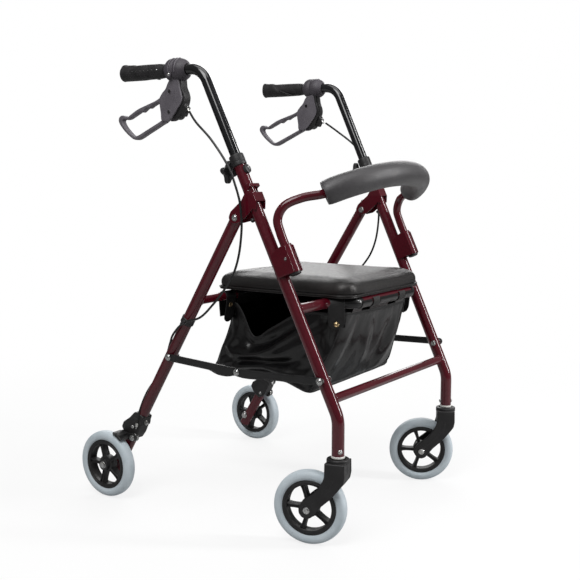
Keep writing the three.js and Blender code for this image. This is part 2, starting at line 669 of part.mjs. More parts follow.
// board with two clips round the seat tube
function seatBase() {
  const CLIP = { x: 58, halfWidth: 14, radius: 14.6 };
  const board = new THREE.ExtrudeGeometry(seatOutline(3, 36), {
    depth: 6, bevelEnabled: false, curveSegments: 3,
  });
  board.translate(0, 0, SEAT.z0);
  let body = toSolid(board);
  for (const x of [-CLIP.x, CLIP.x]) {
    const x0 = x - CLIP.halfWidth;
    const x1 = x + CLIP.halfWidth;
    const { y, z } = SEAT_HINGE;
    const clip = cut(
      join(
        xRod(SEAT_HINGE, x0, x1, CLIP.radius, 12),
        box([x0, x1], [y - 5, y + 22], [z + 8, SEAT.z0 + 1])),
      xRod(SEAT_HINGE, x - 20, x + 20, SEAT_TUBE_R + 0.8, 12));
    body = join(body, clip);
  }
  return body;
}
add('seat_base', seatBase(), MATERIALS.blackPlastic);

function seatPad() {
  const LIFT = 6.3; // underside above the base's underside
  const BEVEL = { height: 5.5, width: 8 };
  const pad = new THREE.ExtrudeGeometry(seatOutline(BEVEL.width, 34), {
    depth: SEAT.z1 - SEAT.z0 - LIFT - 2 * BEVEL.height,
    bevelEnabled: true,
    bevelThickness: BEVEL.height,
    bevelSize: BEVEL.width,
    bevelSegments: 2,
    curveSegments: 4,
  });
  pad.translate(0, 0, SEAT.z0 + LIFT + BEVEL.height);
  return toSolid(pad);
}
add('seat_pad', seatPad(), MATERIALS.vinyl);

// ---------------------------------------------------------------- storage bag
// open at the top, hung by two front straps
function bag() {
  const { x, top, bottom, wall } = BAG;
  const outer = [[-254, top], [-150, bottom], [112, bottom + 6], [62, top]]; // [y, z]
  const inner = [
    [-250, top + 1], [-147, bottom + wall], [107, bottom + 6 + wall], [58, top + 1],
  ];
  let body = cut(plate(outer, -x, x), plate(inner, -x + wall, x - wall));
  const STRAP = { front: -254.5, bottom: top - 12 };
  for (const across of [[-141, -109], [109, 141]]) {
    body = join(body,
      box(across, [STRAP.front, -252], [STRAP.bottom, 461.5]),
      box(across, [STRAP.front, -249], [STRAP.bottom, top - 2])); // flap tying the strap in
  }
  return body;
}
add('bag', bag(), MATERIALS.bag);

export default root;
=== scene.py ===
"""Rollator walker: the looks of a folding four-wheeled walking frame, set on its CAD frame.

Shapes are written in millimetres and add() turns them into metres. Z is up with the floor at
z = 0. The casters are at the front, towards -Y; the handles end towards +Y, the rear. +X is the
left hand of the person walking (tag l), -X the right (tag r). Outlines and places given as
pairs are (y, z) unless a comment says otherwise.
"""
from math import acos, atan2, ceil, cos, degrees, exp, hypot, pi, radians, sin, sqrt, tan

import bpy
import numpy as np
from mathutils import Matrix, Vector, noise
from mathutils.geometry import tessellate_polygon
from numpy.linalg import norm


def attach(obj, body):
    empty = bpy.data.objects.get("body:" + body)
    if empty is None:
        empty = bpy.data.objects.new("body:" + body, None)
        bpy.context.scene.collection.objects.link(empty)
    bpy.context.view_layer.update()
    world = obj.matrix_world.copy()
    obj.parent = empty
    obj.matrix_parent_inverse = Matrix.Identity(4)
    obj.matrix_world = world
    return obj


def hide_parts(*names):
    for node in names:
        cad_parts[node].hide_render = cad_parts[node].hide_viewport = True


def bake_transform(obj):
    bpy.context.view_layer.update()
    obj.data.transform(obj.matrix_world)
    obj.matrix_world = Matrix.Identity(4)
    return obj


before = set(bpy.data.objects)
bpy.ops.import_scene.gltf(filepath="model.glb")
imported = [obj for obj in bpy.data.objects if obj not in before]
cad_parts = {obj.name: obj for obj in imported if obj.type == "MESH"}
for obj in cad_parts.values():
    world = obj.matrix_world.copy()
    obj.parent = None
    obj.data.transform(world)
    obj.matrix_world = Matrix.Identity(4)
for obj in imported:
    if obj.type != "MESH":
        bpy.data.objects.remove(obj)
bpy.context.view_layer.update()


def vec(*xyz):
    return np.array(xyz, float)


def unit(vector):
    vector = np.asarray(vector, float)
    return vector / norm(vector)


def unit_rows(rows):
    return rows / norm(rows, axis=1)[:, None]


ORIGIN = vec(0, 0, 0)
X, Y, Z = vec(1, 0, 0), vec(0, 1, 0), vec(0, 0, 1)
MIRROR_X = vec(-1, 1, 1)

# ------------------------------------------------------------------ dimensions of the frame
SHIFT_Y = -23.22  # brings the whole object's box to the middle of y = 0
WHEEL_R = 76.2
REAR_WHEEL = vec(287.0, 300.0, WHEEL_R)
STEM = (250.0, -297.0)  # x, y of the caster stem
TRAIL = 57.0  # caster axle behind its stem
SWIVEL = {"l": 28.3, "r": 14.8}  # caster turn, degrees
FRAME_TUBE_R, HANDLE_R, SEAT_TUBE_R, CROSS_R, HOOP_R = 12.7, 11.1, 11.1, 9.5, 9.3
CROSSBAR_Z, SEAT_TUBE_Z, REAR_CROSS_Z = 297, 471, 470
PIVOT = (-63.0, 651.0)
LINK_FRONT, LINK_MIDDLE, LINK_REAR = (-267.0, 336.0), (-63.0, 330.0), (127.5, 340.5)
REAR_LINK_X, FRONT_LINK_X = 266.4, 269.8
KNOB_X, KNOB_Y, KNOB_Z = 260, -50.0, 743.0
LEVER_PIN = (105.0, 910.5)
SHOE_PIVOT = (237.0, 142.0)
HANDLE_Z = 955.0
HANDLE_END_Y = 239
SEAT_HALF, SEAT_FRONT, SEAT_REAR = 163.0, -270.0, 75.0
SEAT_HINGE = (-262.0, 474.0)


def upright(z):
    """centre line of the +X front upright"""
    return vec(250.6, -279.1, 300) + vec(0.021, 0.4669, 1) * (z - 300)


def leg(z):
    """centre line of the +X rear leg"""
    return vec(250, 294, WHEEL_R) + vec(0.01214, -0.6098, 1) * (z - WHEEL_R)


UP_DIR = unit(upright(1000) - upright(0))
AHEAD = unit(vec(0, -UP_DIR[2], UP_DIR[1]))  # square to the upright, to the front
LEG_DIR = unit(leg(0) - leg(1000))  # down the leg
LEG_BEHIND = unit(vec(0, -LEG_DIR[2], LEG_DIR[1]))  # square to the leg, to the rear
HANDLE_CORNER = upright(HANDLE_Z)
GRIP_X = HANDLE_CORNER[0]


def upright_yz(z, ahead):
    return tuple((upright(z) + AHEAD * ahead)[1:])


def leg_yz(z, ahead):
    return tuple((leg(z) - LEG_BEHIND * ahead)[1:])


def hoop_leg(z):
    """centre line of the backrest hoop's +X end, ahead of the upright"""
    point = upright(z) + AHEAD * 32
    point[0] = 256
    return point


def pad_point(across):
    """centre line of the foam pad, from 1 at its +X end to -1"""
    half_turn = 1.1
    turn = across * half_turn
    rise = (cos(turn) - cos(half_turn)) / (1 - cos(half_turn))
    return vec(187.4 * sin(turn) / sin(half_turn), -224.3 - 79.2 * rise, 700.5 + 40.5 * rise)


# ------------------------------------------------------------------ paths and outlines
def travelled(path):
    """length run from the start to each point of the path"""
    return np.concatenate([[0], np.cumsum(norm(np.diff(path, axis=0), axis=1))])


def resampled(path, count, endpoint=True):
    run = travelled(path)
    stations = np.linspace(0, run[-1], count, endpoint=endpoint)
    return np.stack([np.interp(stations, run, path[:, k]) for k in range(path.shape[1])], 1)


def corner_arc(corner, arrive, leave, angle, radius, step):
    """points of the arc that rounds a corner turning by angle"""
    start = corner - arrive * (radius * tan(angle / 2))
    inward = unit(leave - arrive * (arrive @ leave))
    centre = start + inward * radius
    steps = max(2, int(ceil(degrees(angle) / step)))
    return [centre - inward * radius * cos(angle * j / steps)
            + arrive * radius * sin(angle * j / steps) for j in range(steps + 1)]


def turn_between(arrive, leave):
    return acos(max(-1, min(1, float(arrive @ leave))))


def fillet(points, radii, step=6.0):
    """open polyline whose corners carry arcs, one point per step degrees or closer"""
    points = [np.asarray(p, float) for p in points]
    if not isinstance(radii, list):
        radii = [radii] * (len(points) - 2)
    out = [points[0]]
    for i in range(1, len(points) - 1):
        arrive, leave = unit(points[i] - points[i - 1]), unit(points[i + 1] - points[i])
        angle = turn_between(arrive, leave)
        if angle < 1e-4 or radii[i - 1] <= 0:
            out.append(points[i])
        else:
            out += corner_arc(points[i], arrive, leave, angle, radii[i - 1], step)
    out.append(points[-1])
    return np.array(out)


def spline(points, count):
    """centripetal Catmull-Rom curve through the points, evenly spaced"""
    knots = [np.asarray(p, float) for p in points]
    knots = [2 * knots[0] - knots[1]] + knots + [2 * knots[-1] - knots[-2]]
    out = []
    for i in range(1, len(knots) - 2):
        p0, p1, p2, p3 = knots[i - 1:i + 3]
        t0 = 0.0
        t1 = t0 + norm(p1 - p0) ** 0.5
        t2 = t1 + norm(p2 - p1) ** 0.5
        t3 = t2 + norm(p3 - p2) ** 0.5
        for t in np.linspace(t1, t2, 24, endpoint=False):
            a1 = (t1 - t) / (t1 - t0) * p0 + (t - t0) / (t1 - t0) * p1
            a2 = (t2 - t) / (t2 - t1) * p1 + (t - t1) / (t2 - t1) * p2
            a3 = (t3 - t) / (t3 - t2) * p2 + (t - t2) / (t3 - t2) * p3
            b1 = (t2 - t) / (t2 - t0) * a1 + (t - t0) / (t2 - t0) * a2
            b2 = (t3 - t) / (t3 - t1) * a2 + (t - t1) / (t3 - t1) * a3
            out.append((t2 - t) / (t2 - t1) * b1 + (t - t1) / (t2 - t1) * b2)
    out.append(knots[-2])
    return resampled(np.array(out), count)


def circle(radius, sides, other=None):
    """circle about 0, or an ellipse when the second radius is given"""
    return [(radius * cos(2 * pi * i / sides), (other or radius) * sin(2 * pi * i / sides))
            for i in range(sides)]


def circle_at(centre, radius, sides):
    return [(centre[0] + a, centre[1] + b) for a, b in circle(radius, sides)]


def arc(centre, radius, angles):
    """points on a circle at the given degrees"""
    return [(centre[0] + radius * cos(radians(a)), centre[1] + radius * sin(radians(a)))
            for a in angles]


def four_way(quarter):
    """closed section from its upper right quarter, listed from the right edge inwards"""
    back = quarter[::-1]
    return ([(-a, -b) for a, b in quarter] + [(a, -b) for a, b in back]
            + list(quarter) + [(-a, b) for a, b in back])


def signed_area(outline):
    outline = np.asarray(outline, float)
    u, v = outline[:, 0], outline[:, 1]
    return 0.5 * float(np.sum(u * np.roll(v, -1) - np.roll(u, -1) * v))


def counter_clockwise(outline):
    outline = np.asarray(outline, float)
    return outline[::-1] if signed_area(outline) < 0 else outline


def round2(points, radii):
    """closed outline with rounded corners, counter-clockwise"""
    if not isinstance(radii, list):
        radii = [radii] * len(points)
    if signed_area(points) < 0:
        radii = radii[::-1]
    points = counter_clockwise(points)
    out = []
    for i, corner in enumerate(points):
        before, after = points[i - 1], points[(i + 1) % len(points)]
        arrive, leave = unit(corner - before), unit(after - corner)
        angle = turn_between(arrive, leave)
        if angle < 0.02 or radii[i] <= 0:
            out.append(corner)
            continue
        room = 0.48 * min(norm(before - corner), norm(after - corner)) / tan(angle / 2)
        out += corner_arc(corner, arrive, leave, angle, min(radii[i], room), step=12)
    return np.array(out)


def smooth2(points, count):
    """closed smooth outline through the points"""
    points = counter_clockwise(points)
    wrapped = np.vstack([points[-2:], points, points[:3]])
    flat = np.column_stack([wrapped, np.zeros(len(wrapped))])
    curve = spline(list(flat), 60 * len(wrapped))
    # keep one turn, from the first point back to itself
    gap = norm(curve[:, :2] - points[0], axis=1)
    half = len(curve) // 2
    start = int(np.argmin(gap[:half]))
    end = half + int(np.argmin(gap[half:]))
    turn = curve[start:end, :2]
    return resampled(np.vstack([turn, turn[:1]]), count, endpoint=False)


def inset2(outline, distance):
    outline = np.asarray(outline, float)

    def normals(edges):
        edges = edges / np.maximum(norm(edges, axis=1), 1e-9)[:, None]
        return np.stack([-edges[:, 1], edges[:, 0]], 1)
    first = normals(outline - np.roll(outline, 1, 0))
    both = first + normals(np.roll(outline, -1, 0) - outline)
    both /= np.maximum(norm(both, axis=1), 1e-6)[:, None]
    mitre = np.maximum((both * first).sum(1), 0.5)
    return outline + both * (distance / mitre)[:, None]


# ------------------------------------------------------------------ solids: all return (points, faces)
def join(*parts):
    points, faces, count = [], [], 0
    for part_points, part_faces in parts:
        points.append(np.asarray(part_points, float).reshape(-1, 3))
        faces += [tuple(i + count for i in face) for face in part_faces]
        count += len(part_points)
    return np.vstack(points), faces


def moved(part, offset, turn=None):
    points = part[0] if turn is None else part[0] @ turn.T
    return points + offset, part[1]


def mirrored(part):
    return part[0] * MIRROR_X, [tuple(reversed(face)) for face in part[1]]


def facing_out(points, faces):
    """turns a closed shell outwards by its signed volume"""
    volume = 0.0
    for face in faces:
        for i in range(1, len(face) - 1):
            second, third = points[face[i]], points[face[i + 1]]
            volume += float(np.dot(points[face[0]], np.cross(second, third)))
    return points, faces if volume > 0 else [tuple(reversed(face)) for face in faces]


def bridge(first, second, back=False):
    """quads between two rings of indices; back winds them the other way"""
    quads = []
    for j in range(len(first)):
        k = (j + 1) % len(first)
        if back:
            quads.append((first[j], second[j], second[k], first[k]))
        else:
            quads.append((first[j], first[k], second[k], second[j]))
    return quads


def index_rings(count, sides, start=0):
    return [range(start + i * sides, start + (i + 1) * sides) for i in range(count)]


def skin(rings, loop=False):
    """skin over equal rings of points: both ends capped, or closed into a loop"""
    ids = index_rings(len(rings), len(rings[0]))
    faces = []
    for i in range(len(ids) if loop else len(ids) - 1):
        faces += bridge(ids[i], ids[(i + 1) % len(ids)])
    if not loop:
        faces += [tuple(reversed(ids[0])), tuple(ids[-1])]
    return np.vstack(rings), faces


def frames(path, ref=None):
    """tangents, normals and binormals carried along the path without twist"""
    path = np.asarray(path, float)
    steps = unit_rows(np.diff(path, axis=0))
    tangents = np.vstack([steps[:1], unit_rows(steps[:-1] + steps[1:]), steps[-1:]])
    if ref is None:
        ref = Z if abs(tangents[0][2]) < 0.9 else X
    normals = [unit(np.cross(np.cross(tangents[0], ref), tangents[0]))]
    for tangent in tangents[1:]:
        normals.append(unit(normals[-1] - tangent * (normals[-1] @ tangent)))
    normals = np.array(normals)
    return tangents, normals, np.cross(tangents, normals)


def section_rings(path, normals, binormals, section, scale=None):
    section = np.asarray(section, float)
    rings = []
    for i in range(len(path)):
        sized = section if scale is None else section * scale[i]
        rings.append(path[i] + normals[i] * sized[:, :1] + binormals[i] * sized[:, 1:])
    return rings


def sweep(path, section, ref=None, scale=None):
    """capped bar; the section is a list of (along normal, along binormal)"""
    path = np.asarray(path, float)
    _, normals, binormals = frames(path, ref)
    return skin(section_rings(path, normals, binormals, section, scale))


def loop_sweep(path, section):
    """bar along a closed path that lies roughly flat; the section is (up, sideways)"""
    tangents = unit_rows(np.roll(path, -1, 0) - np.roll(path, 1, 0))
    binormals = unit_rows(np.cross(tangents, Z))
    normals = np.cross(binormals, tangents)
    return facing_out(*skin(section_rings(path, normals, binormals, section), loop=True))


def tube(path, radius, sides=40, edge=0.7):
    """solid round bar with softened ends"""
    path = [np.asarray(p, float) for p in path]
    first, last = unit(path[1] - path[0]), unit(path[-1] - path[-2])
    middle = path[1:-1]
    points = ([path[0], path[0] + first * edge * 0.35, path[0] + first * edge] + middle
              + [path[-1] - last * edge, path[-1] - last * edge * 0.35, path[-1]])
    ease = [1 - edge / radius, 1 - 0.3 * edge / radius, 1]
    return sweep(points, circle(radius, sides), scale=ease + [1] * len(middle) + ease[::-1])


def pipe(path, radius, bore, sides=48):
    """open ended tube with a wall"""
    path = np.asarray(path, float)
    _, normals, binormals = frames(path)
    rings = []
    for size in (radius, bore):
        rings += section_rings(path, normals, binormals, circle(size, sides))
    count = len(path)
    ids = index_rings(2 * count, sides)
    outer, inner = ids[:count], ids[count:]
    pairs = [zip(bridge(outer[i], outer[i + 1]), bridge(inner[i], inner[i + 1], back=True))
             for i in range(count - 1)]
    pairs.append(zip(bridge(outer[0], inner[0], back=True), bridge(outer[-1], inner[-1])))
    return np.vstack(rings), [quad for rows in pairs for two in rows for quad in two]


def basis(direction):
    direction = unit(direction)
    ref = Z if abs(direction[2]) < 0.9 else X
    side = unit(np.cross(ref, direction))
    return side, np.cross(direction, side), direction


def lathe(profile, base, axis, sides=48, turn=0.0):
    """profile of (radius, height) turned about the axis from base; outer walls run upwards"""
    side, other, axis = basis(axis)
    base = np.asarray(base, float)
    closed = profile[0] == profile[-1]
    if closed:
        profile = profile[:-1]
    points, rings = [], []
    for radius, height in profile:
        if radius < 1e-9:
            rings.append([len(points)] * sides)
            points.append(base + axis * height)
            continue
        rings.append(range(len(points), len(points) + sides))
        for j in range(sides):
            a = 2 * pi * j / sides + turn
            points.append(base + side * radius * cos(a) + other * radius * sin(a) + axis * height)
    faces = []
    for i in range(len(rings) if closed else len(rings) - 1):
        for quad in bridge(rings[i], rings[(i + 1) % len(rings)]):
            face = tuple(dict.fromkeys(quad))
            if len(face) > 2:
                faces.append(face)
    return np.array(points), faces


def levels(low, high, bevel, steps):
    """edge of a slab with rounded rims: (inset, height)"""
    turns = [pi / 2 * i / steps for i in range(steps + 1)]
    return ([(bevel * (1 - sin(t)), low + bevel * (1 - cos(t))) for t in turns]
            + [(bevel * (1 - cos(t)), high - bevel * (1 - sin(t))) for t in turns])


def slab(outline, edge, holes=()):
    """closed 2-D outline with holes, raised through the edge's (inset, height) levels"""
    loops = [(counter_clockwise(outline), 1.0)]
    loops += [(counter_clockwise(hole), -1.0) for hole in holes]
    points, faces, starts = [], [], []
    for loop, sign in loops:
        rings = []
        for inset, height in edge:
            rings.append(range(len(points), len(points) + len(loop)))
            points += [(p[0], p[1], height) for p in inset2(loop, inset * sign)]
        starts.append(rings)
        for low, high in zip(rings[:-1], rings[1:]):
            quads = bridge(low, high)
            faces += quads if sign > 0 else [quad[::-1] for quad in quads]
    for end, upward in ((0, False), (-1, True)):
        ids = [i for rings in starts for i in rings[end]]
        polygons = [[Vector((points[i][0], points[i][1], 0)) for i in rings[end]]
                    for rings in starts]
        for triangle in tessellate_polygon(polygons):
            a, b, c = (ids[i] for i in triangle)
            area = ((points[b][0] - points[a][0]) * (points[c][1] - points[a][1])
                    - (points[c][0] - points[a][0]) * (points[b][1] - points[a][1]))
            if abs(area) < 1e-9:
                continue
            if (area > 0) != upward:
                b, c = c, b
            faces.append((a, b, c))
    return np.array(points, float), faces


def slab_yz(outline, edge, holes=()):
    """slab of a (y, z) outline whose heights run along x"""
    points, faces = slab(outline, edge, holes)
    return points[:, [2, 0, 1]], faces


def slab_x(outline, x0, x1, bevel, steps, holes=()):
    return slab_yz(outline, levels(x0, x1, bevel, steps), holes)


def slab_z(outline, z0, z1, bevel, steps):
    return slab(outline, levels(z0, z1, bevel, steps))


def weld(side_point, side_dir, side_r, start, toward, bar_r, bead, seed):
    """bead where a round bar running from start meets the side of another bar"""
    count, bead_sides = 56, 10
    side_dir, back = unit(side_dir), -unit(toward)
    far = start + toward * 1000
    across, other, _ = basis(back)
    seam = []
    for j in range(count):
        a = 2 * pi * j / count
        edge = far + across * bar_r * cos(a) + other * bar_r * sin(a)
        # run along back from the edge to the side bar's surface
        gap = edge - side_point
        gap = gap - side_dir * (gap @ side_dir)
        slope = back - side_dir * (back @ side_dir)
        square, linear = slope @ slope, 2 * gap @ slope
        root = linear * linear - 4 * square * (gap @ gap - side_r * side_r)
        seam.append(edge + back * ((-linear + sqrt(max(root, 0.0))) / (2 * square)))
    seam = np.array(seam)
    centre = seam.mean(0)
    rings = []
    for j in range(count):
        tangent = unit(seam[(j + 1) % count] - seam[j - 1])
        outward = seam[j] - centre
        outward = unit(outward - tangent * (outward @ tangent))
        third = np.cross(tangent, outward)
        ripple = 0.16 * sin(j * 2 * pi / count * 13 + seed)
        size = bead * (1 + ripple + 0.1 * noise.noise(Vector((j * 0.7, seed, 0))))
        rings.append([seam[j] + outward * a + third * b for a, b in circle(size, bead_sides)])
    return facing_out(*skin(rings, loop=True))


# ------------------------------------------------------------------ fasteners
def rod(base, axis, radius, start, end, sides=28):
    return lathe([(0, start), (radius, start), (radius, end), (0, end)], base, axis, sides)


def spacer(base, axis, bore, radius, length, sides=32):
    return lathe([(bore, 0), (radius, 0), (radius, length), (bore, length), (bore, 0)],
                 base, axis, sides)


def washer(base, axis, radius, thick):
    edge = min(0.35, thick / 3)
    return lathe([(0, 0), (radius - edge, 0), (radius, edge), (radius, thick - edge),
                  (radius - edge, thick), (0, thick)], base, axis, 40)


def hexhead(base, axis, radius, height, turn=0.0):
    """hexagon head with a chamfered, dished crown"""
    return lathe([(0, 0), (radius, 0), (radius, height * 0.78), (radius * 0.86, height),
                  (radius * 0.5, height), (radius * 0.42, height - 0.6), (0, height - 0.6)],
                 base, axis, 6, turn)


def dome(base, axis, radius, height):
    """round cap head with a shallow dish"""
    profile = [(0, 0), (radius, 0)]
    for i in range(1, 7):
        t = pi / 2 * i / 6
        profile.append((max(radius * cos(t), radius * 0.34), height * sin(t)))
    profile += [(radius * 0.28, height * 0.93), (0, height * 0.7)]
    return lathe(profile, base, axis, 36)


def nut(base, axis, washer_r, hex_r, height, thick=1.0, lift=0.8, turn=0.0):
    """hexagon on its washer"""
    return join(washer(base, axis, washer_r, thick),
                hexhead(base + axis * lift, axis, hex_r, height, turn))


def cap(base, axis, washer_r, dome_r, height, thick=0.9, lift=0.8):
    """dome on its washer"""
    return join(washer(base, axis, washer_r, thick),
                dome(base + axis * lift, axis, dome_r, height))


def screw(base, axis, radius, height):
    return cap(base, axis, radius * 1.18, radius, height, thick=0.8, lift=0.7)


# ------------------------------------------------------------------ materials
def srgb(*levels_255):
    linear = [c / 12.92 if c <= 0.04045 else ((c + 0.055) / 1.055) ** 2.4
              for c in (level / 255 for level in levels_255)]
    return (*linear, 1.0)


def add_node(tree, kind, inputs=None, **attributes):
    """new shader node; inputs takes values, or output sockets to link"""
    made = tree.nodes.new("ShaderNode" + kind)
    for key, value in attributes.items():
        setattr(made, key, value)
    for key, value in (inputs or {}).items():
        if isinstance(value, bpy.types.NodeSocket):
            tree.links.new(value, made.inputs[key])
        else:
            made.inputs[key].default_value = value
    return made


class Surface:
    """one principled material, textured in object space"""

    def __init__(self, name):
        self.material = bpy.data.materials.new(name)
        self.material.use_nodes = True
        self.tree = self.material.node_tree
        self.tree.nodes.clear()
        self.shader = self.add("BsdfPrincipled")
        self.add("OutputMaterial", {0: self.shader.outputs[0]})
        self.place = self.add("TexCoord").outputs["Object"]
        self.normal = None

    def add(self, kind, inputs=None, **attributes):
        return add_node(self.tree, kind, inputs, **attributes)

    def set(self, **inputs):
        for key, value in inputs.items():
            self.shader.inputs[key.replace("_", " ")].default_value = value

    def noise(self, scale, detail=3, roughness=0.5, distortion=0.0, place=None):
        return self.add("TexNoise", {
            "Vector": place or self.place, "Scale": scale, "Detail": detail,
            "Roughness": roughness, "Distortion": distortion}).outputs["Fac"]

    def voronoi(self, scale, feature="F1", output="Distance"):
        return self.add("TexVoronoi", {"Vector": self.place, "Scale": scale},
                        feature=feature).outputs[output]

    def wave(self, scale, axis):
        return self.add("TexWave", {"Vector": self.place, "Scale": scale},
                        bands_direction=axis).outputs["Fac"]

    def ramp(self, value, low, high, to_low=0.0, to_high=1.0):
        return self.add("MapRange", {
            "Value": value, "From Min": low, "From Max": high,
            "To Min": to_low, "To Max": to_high}).outputs[0]

    def combine(self, operation, first, second):
        return self.add("Math", {0: first, 1: second}, operation=operation).outputs[0]

    def mix(self, amount, first, second):
        # sockets 6 and 7 are the colours A and B, output 2 their mix
        return self.add("Mix", {0: amount, 6: first, 7: second}, data_type="RGBA").outputs[2]

    def tint(self, base, mask, amount, colour):
        """lays a colour over the base where the mask is high"""
        return self.mix(self.combine("MULTIPLY", mask, amount), base, colour)

    def mottle(self, scale, dark, light, detail=3, low=0.3, high=0.7):
        """two shades in soft patches"""
        return self.mix(self.ramp(self.noise(scale, detail), low, high), dark, light)

    def rubbed(self, base, amount, colour):
        """worn edges in a lighter shade"""
        point = self.add("NewGeometry").outputs["Pointiness"]
        edges = self.ramp(point, low=0.52, high=0.6)
        patches = self.ramp(self.noise(scale=180, detail=4, roughness=0.7), low=0.45, high=0.65)
        return self.tint(base, self.combine("MULTIPLY", edges, patches), amount, colour)

    def gloss(self, scale, low, high):
        """roughness wandering between two values"""
        return self.ramp(self.noise(scale), 0.3, 0.7, low, high)

    def bump(self, height, strength, distance):
        inputs = {"Strength": strength, "Distance": distance, "Height": height}
        if self.normal is not None:
            inputs["Normal"] = self.normal
        self.normal = self.add("Bump", inputs).outputs[0]

    def relief(self, scale, strength, distance, **texture):
        self.bump(self.noise(scale, **texture), strength, distance)

    def finish(self, colour, roughness):
        for key, value in (("Base Color", colour), ("Roughness", roughness),
                           ("Normal", self.normal)):
            if isinstance(value, float):
                self.shader.inputs[key].default_value = value
            else:
                self.tree.links.new(value, self.shader.inputs[key])
        return self.material


MATERIALS = {}


def material(build):
    """makes the material named after the function, which returns colour and roughness"""
    surf = Surface(build.__name__)
    MATERIALS[build.__name__] = surf.finish(*build(surf))
    return build


@material
def frame_paint(surf):
    """burgundy coat under clear: fine flakes and orange peel"""
    cells = surf.add("SeparateColor", {0: surf.voronoi(scale=1900, output="Color")})
    flakes = surf.ramp(cells.outputs[0], low=0.55, high=1.0)
    base = surf.mottle(scale=9, low=0.35, dark=srgb(70, 6, 19), light=srgb(81, 8, 24))
    base = surf.tint(base, flakes, amount=0.35, colour=srgb(118, 24, 42))
    base = surf.rubbed(base, amount=0.3, colour=srgb(108, 40, 52))
    surf.set(Metallic=0.0, Specular_IOR_Level=0.12, Coat_Weight=1.0, Coat_Roughness=0.035,
             Coat_IOR=1.5)
    surf.relief(scale=420, detail=2, strength=0.05, distance=0.0004)
    surf.relief(scale=2600, detail=1, strength=0.03, distance=0.0002)
    return base, surf.gloss(scale=60, low=0.27, high=0.36)


@material
def black_paint(surf):
    """black gloss tube, its roughness drawn out upwards"""
    base = surf.mottle(scale=12, low=0.35, dark=srgb(15, 15, 17), light=srgb(24, 24, 27))
    surf.set(Metallic=0.0, Specular_IOR_Level=0.3, Coat_Weight=1.0, Coat_Roughness=0.03)
    surf.relief(scale=260, detail=2, strength=0.02, distance=0.0004)
    drawn = surf.add("Mapping", {0: surf.place, "Scale": (1, 1, 0.03)}).outputs[0]
    streaks = surf.noise(scale=900, detail=2, roughness=0.6, place=drawn)
    return base, surf.ramp(streaks, low=0.4, high=0.8, to_low=0.14, to_high=0.26)


def moulded_grey(surf, dark, light, rub, grain):
    base = surf.mottle(scale=30, detail=4, low=0.35, dark=dark, light=light)
    base = surf.rubbed(base, amount=0.3, colour=rub)
    surf.relief(scale=2400, roughness=0.6, strength=grain, distance=0.0003)
    surf.relief(scale=90, detail=2, strength=0.05, distance=0.001)
    return base


@material
def grey_plastic(surf):
    base = moulded_grey(surf, dark=srgb(62, 58, 64), light=srgb(76, 72, 78),
                        rub=srgb(112, 108, 112), grain=0.35)
    return base, surf.gloss(scale=700, low=0.46, high=0.62)


@material
def lever_grey(surf):
    base = moulded_grey(surf, dark=srgb(92, 88, 94), light=srgb(108, 104, 110),
                        rub=srgb(134, 130, 134), grain=0.3)
    return base, surf.gloss(scale=700, low=0.44, high=0.6)


@material
def black_plastic(surf):
    base = surf.mottle(scale=26, detail=4, low=0.35, dark=srgb(24, 23, 24), light=srgb(38, 37, 38))
    base = surf.rubbed(base, amount=0.3, colour=srgb(78, 77, 78))
    surf.relief(scale=2200, roughness=0.6, strength=0.3, distance=0.0003)
    return base, surf.gloss(scale=500, low=0.40, high=0.56)


@material
def black_steel(surf):
    """black painted steel of the side links"""
    base = surf.mottle(scale=40, detail=4, low=0.35, dark=srgb(18, 18, 19), light=srgb(30, 30, 31))
    base = surf.rubbed(base, amount=0.45, colour=srgb(96, 95, 94))
    surf.set(Metallic=0.1, Coat_Weight=0.25, Coat_Roughness=0.25)
    surf.relief(scale=900, strength=0.18, distance=0.0003)
    return base, surf.gloss(scale=300, low=0.34, high=0.5)


@material
def grip_rubber(surf):
    base = surf.mottle(scale=60, detail=4, low=0.35, dark=srgb(26, 25, 26), light=srgb(44, 42, 44))
    surf.bump(surf.voronoi(scale=1500), strength=0.35, distance=0.0004)
    surf.relief(scale=2600, strength=0.3, distance=0.0003)
    surf.set(Specular_IOR_Level=0.42)
    return base, surf.gloss(scale=300, low=0.52, high=0.68)


@material
def tyre_grey(surf):
    """pale blue grey tyre with scuffs"""
    base = surf.mottle(scale=28, detail=4, high=0.75,
                       dark=srgb(200, 212, 219), light=srgb(216, 226, 232))
    scuffs = surf.ramp(surf.noise(scale=240, detail=5, roughness=0.7), low=0.55, high=0.75)
    base = surf.tint(base, scuffs, amount=0.22, colour=srgb(120, 128, 132))
    surf.set(Subsurface_Weight=0.06, Specular_IOR_Level=0.45,
             Subsurface_Radius=(0.004, 0.004, 0.004))
    surf.relief(scale=1400, strength=0.22, distance=0.0003)
    return base, surf.gloss(scale=90, low=0.40, high=0.55)


@material
def zinc(surf):
    """plated steel with yellowish patches"""
    base = surf.mottle(scale=220, detail=4, dark=srgb(176, 177, 178), light=srgb(218, 218, 216))
    patches = surf.ramp(surf.noise(scale=60), low=0.5, high=0.75)
    base = surf.tint(base, patches, amount=0.25, colour=srgb(196, 188, 166))
    surf.set(Metallic=1.0)
    surf.relief(scale=1800, detail=2, strength=0.15, distance=0.0002)
    return base, surf.gloss(scale=400, low=0.18, high=0.34)


@material
def brass(surf):
    """brass coloured press snaps"""
    base = surf.mottle(scale=300, detail=4, dark=srgb(176, 150, 108), light=srgb(214, 192, 152))
    surf.set(Metallic=1.0)
    surf.relief(scale=1200, detail=2, strength=0.12, distance=0.0002)
    return base, surf.gloss(scale=300, low=0.2, high=0.36)


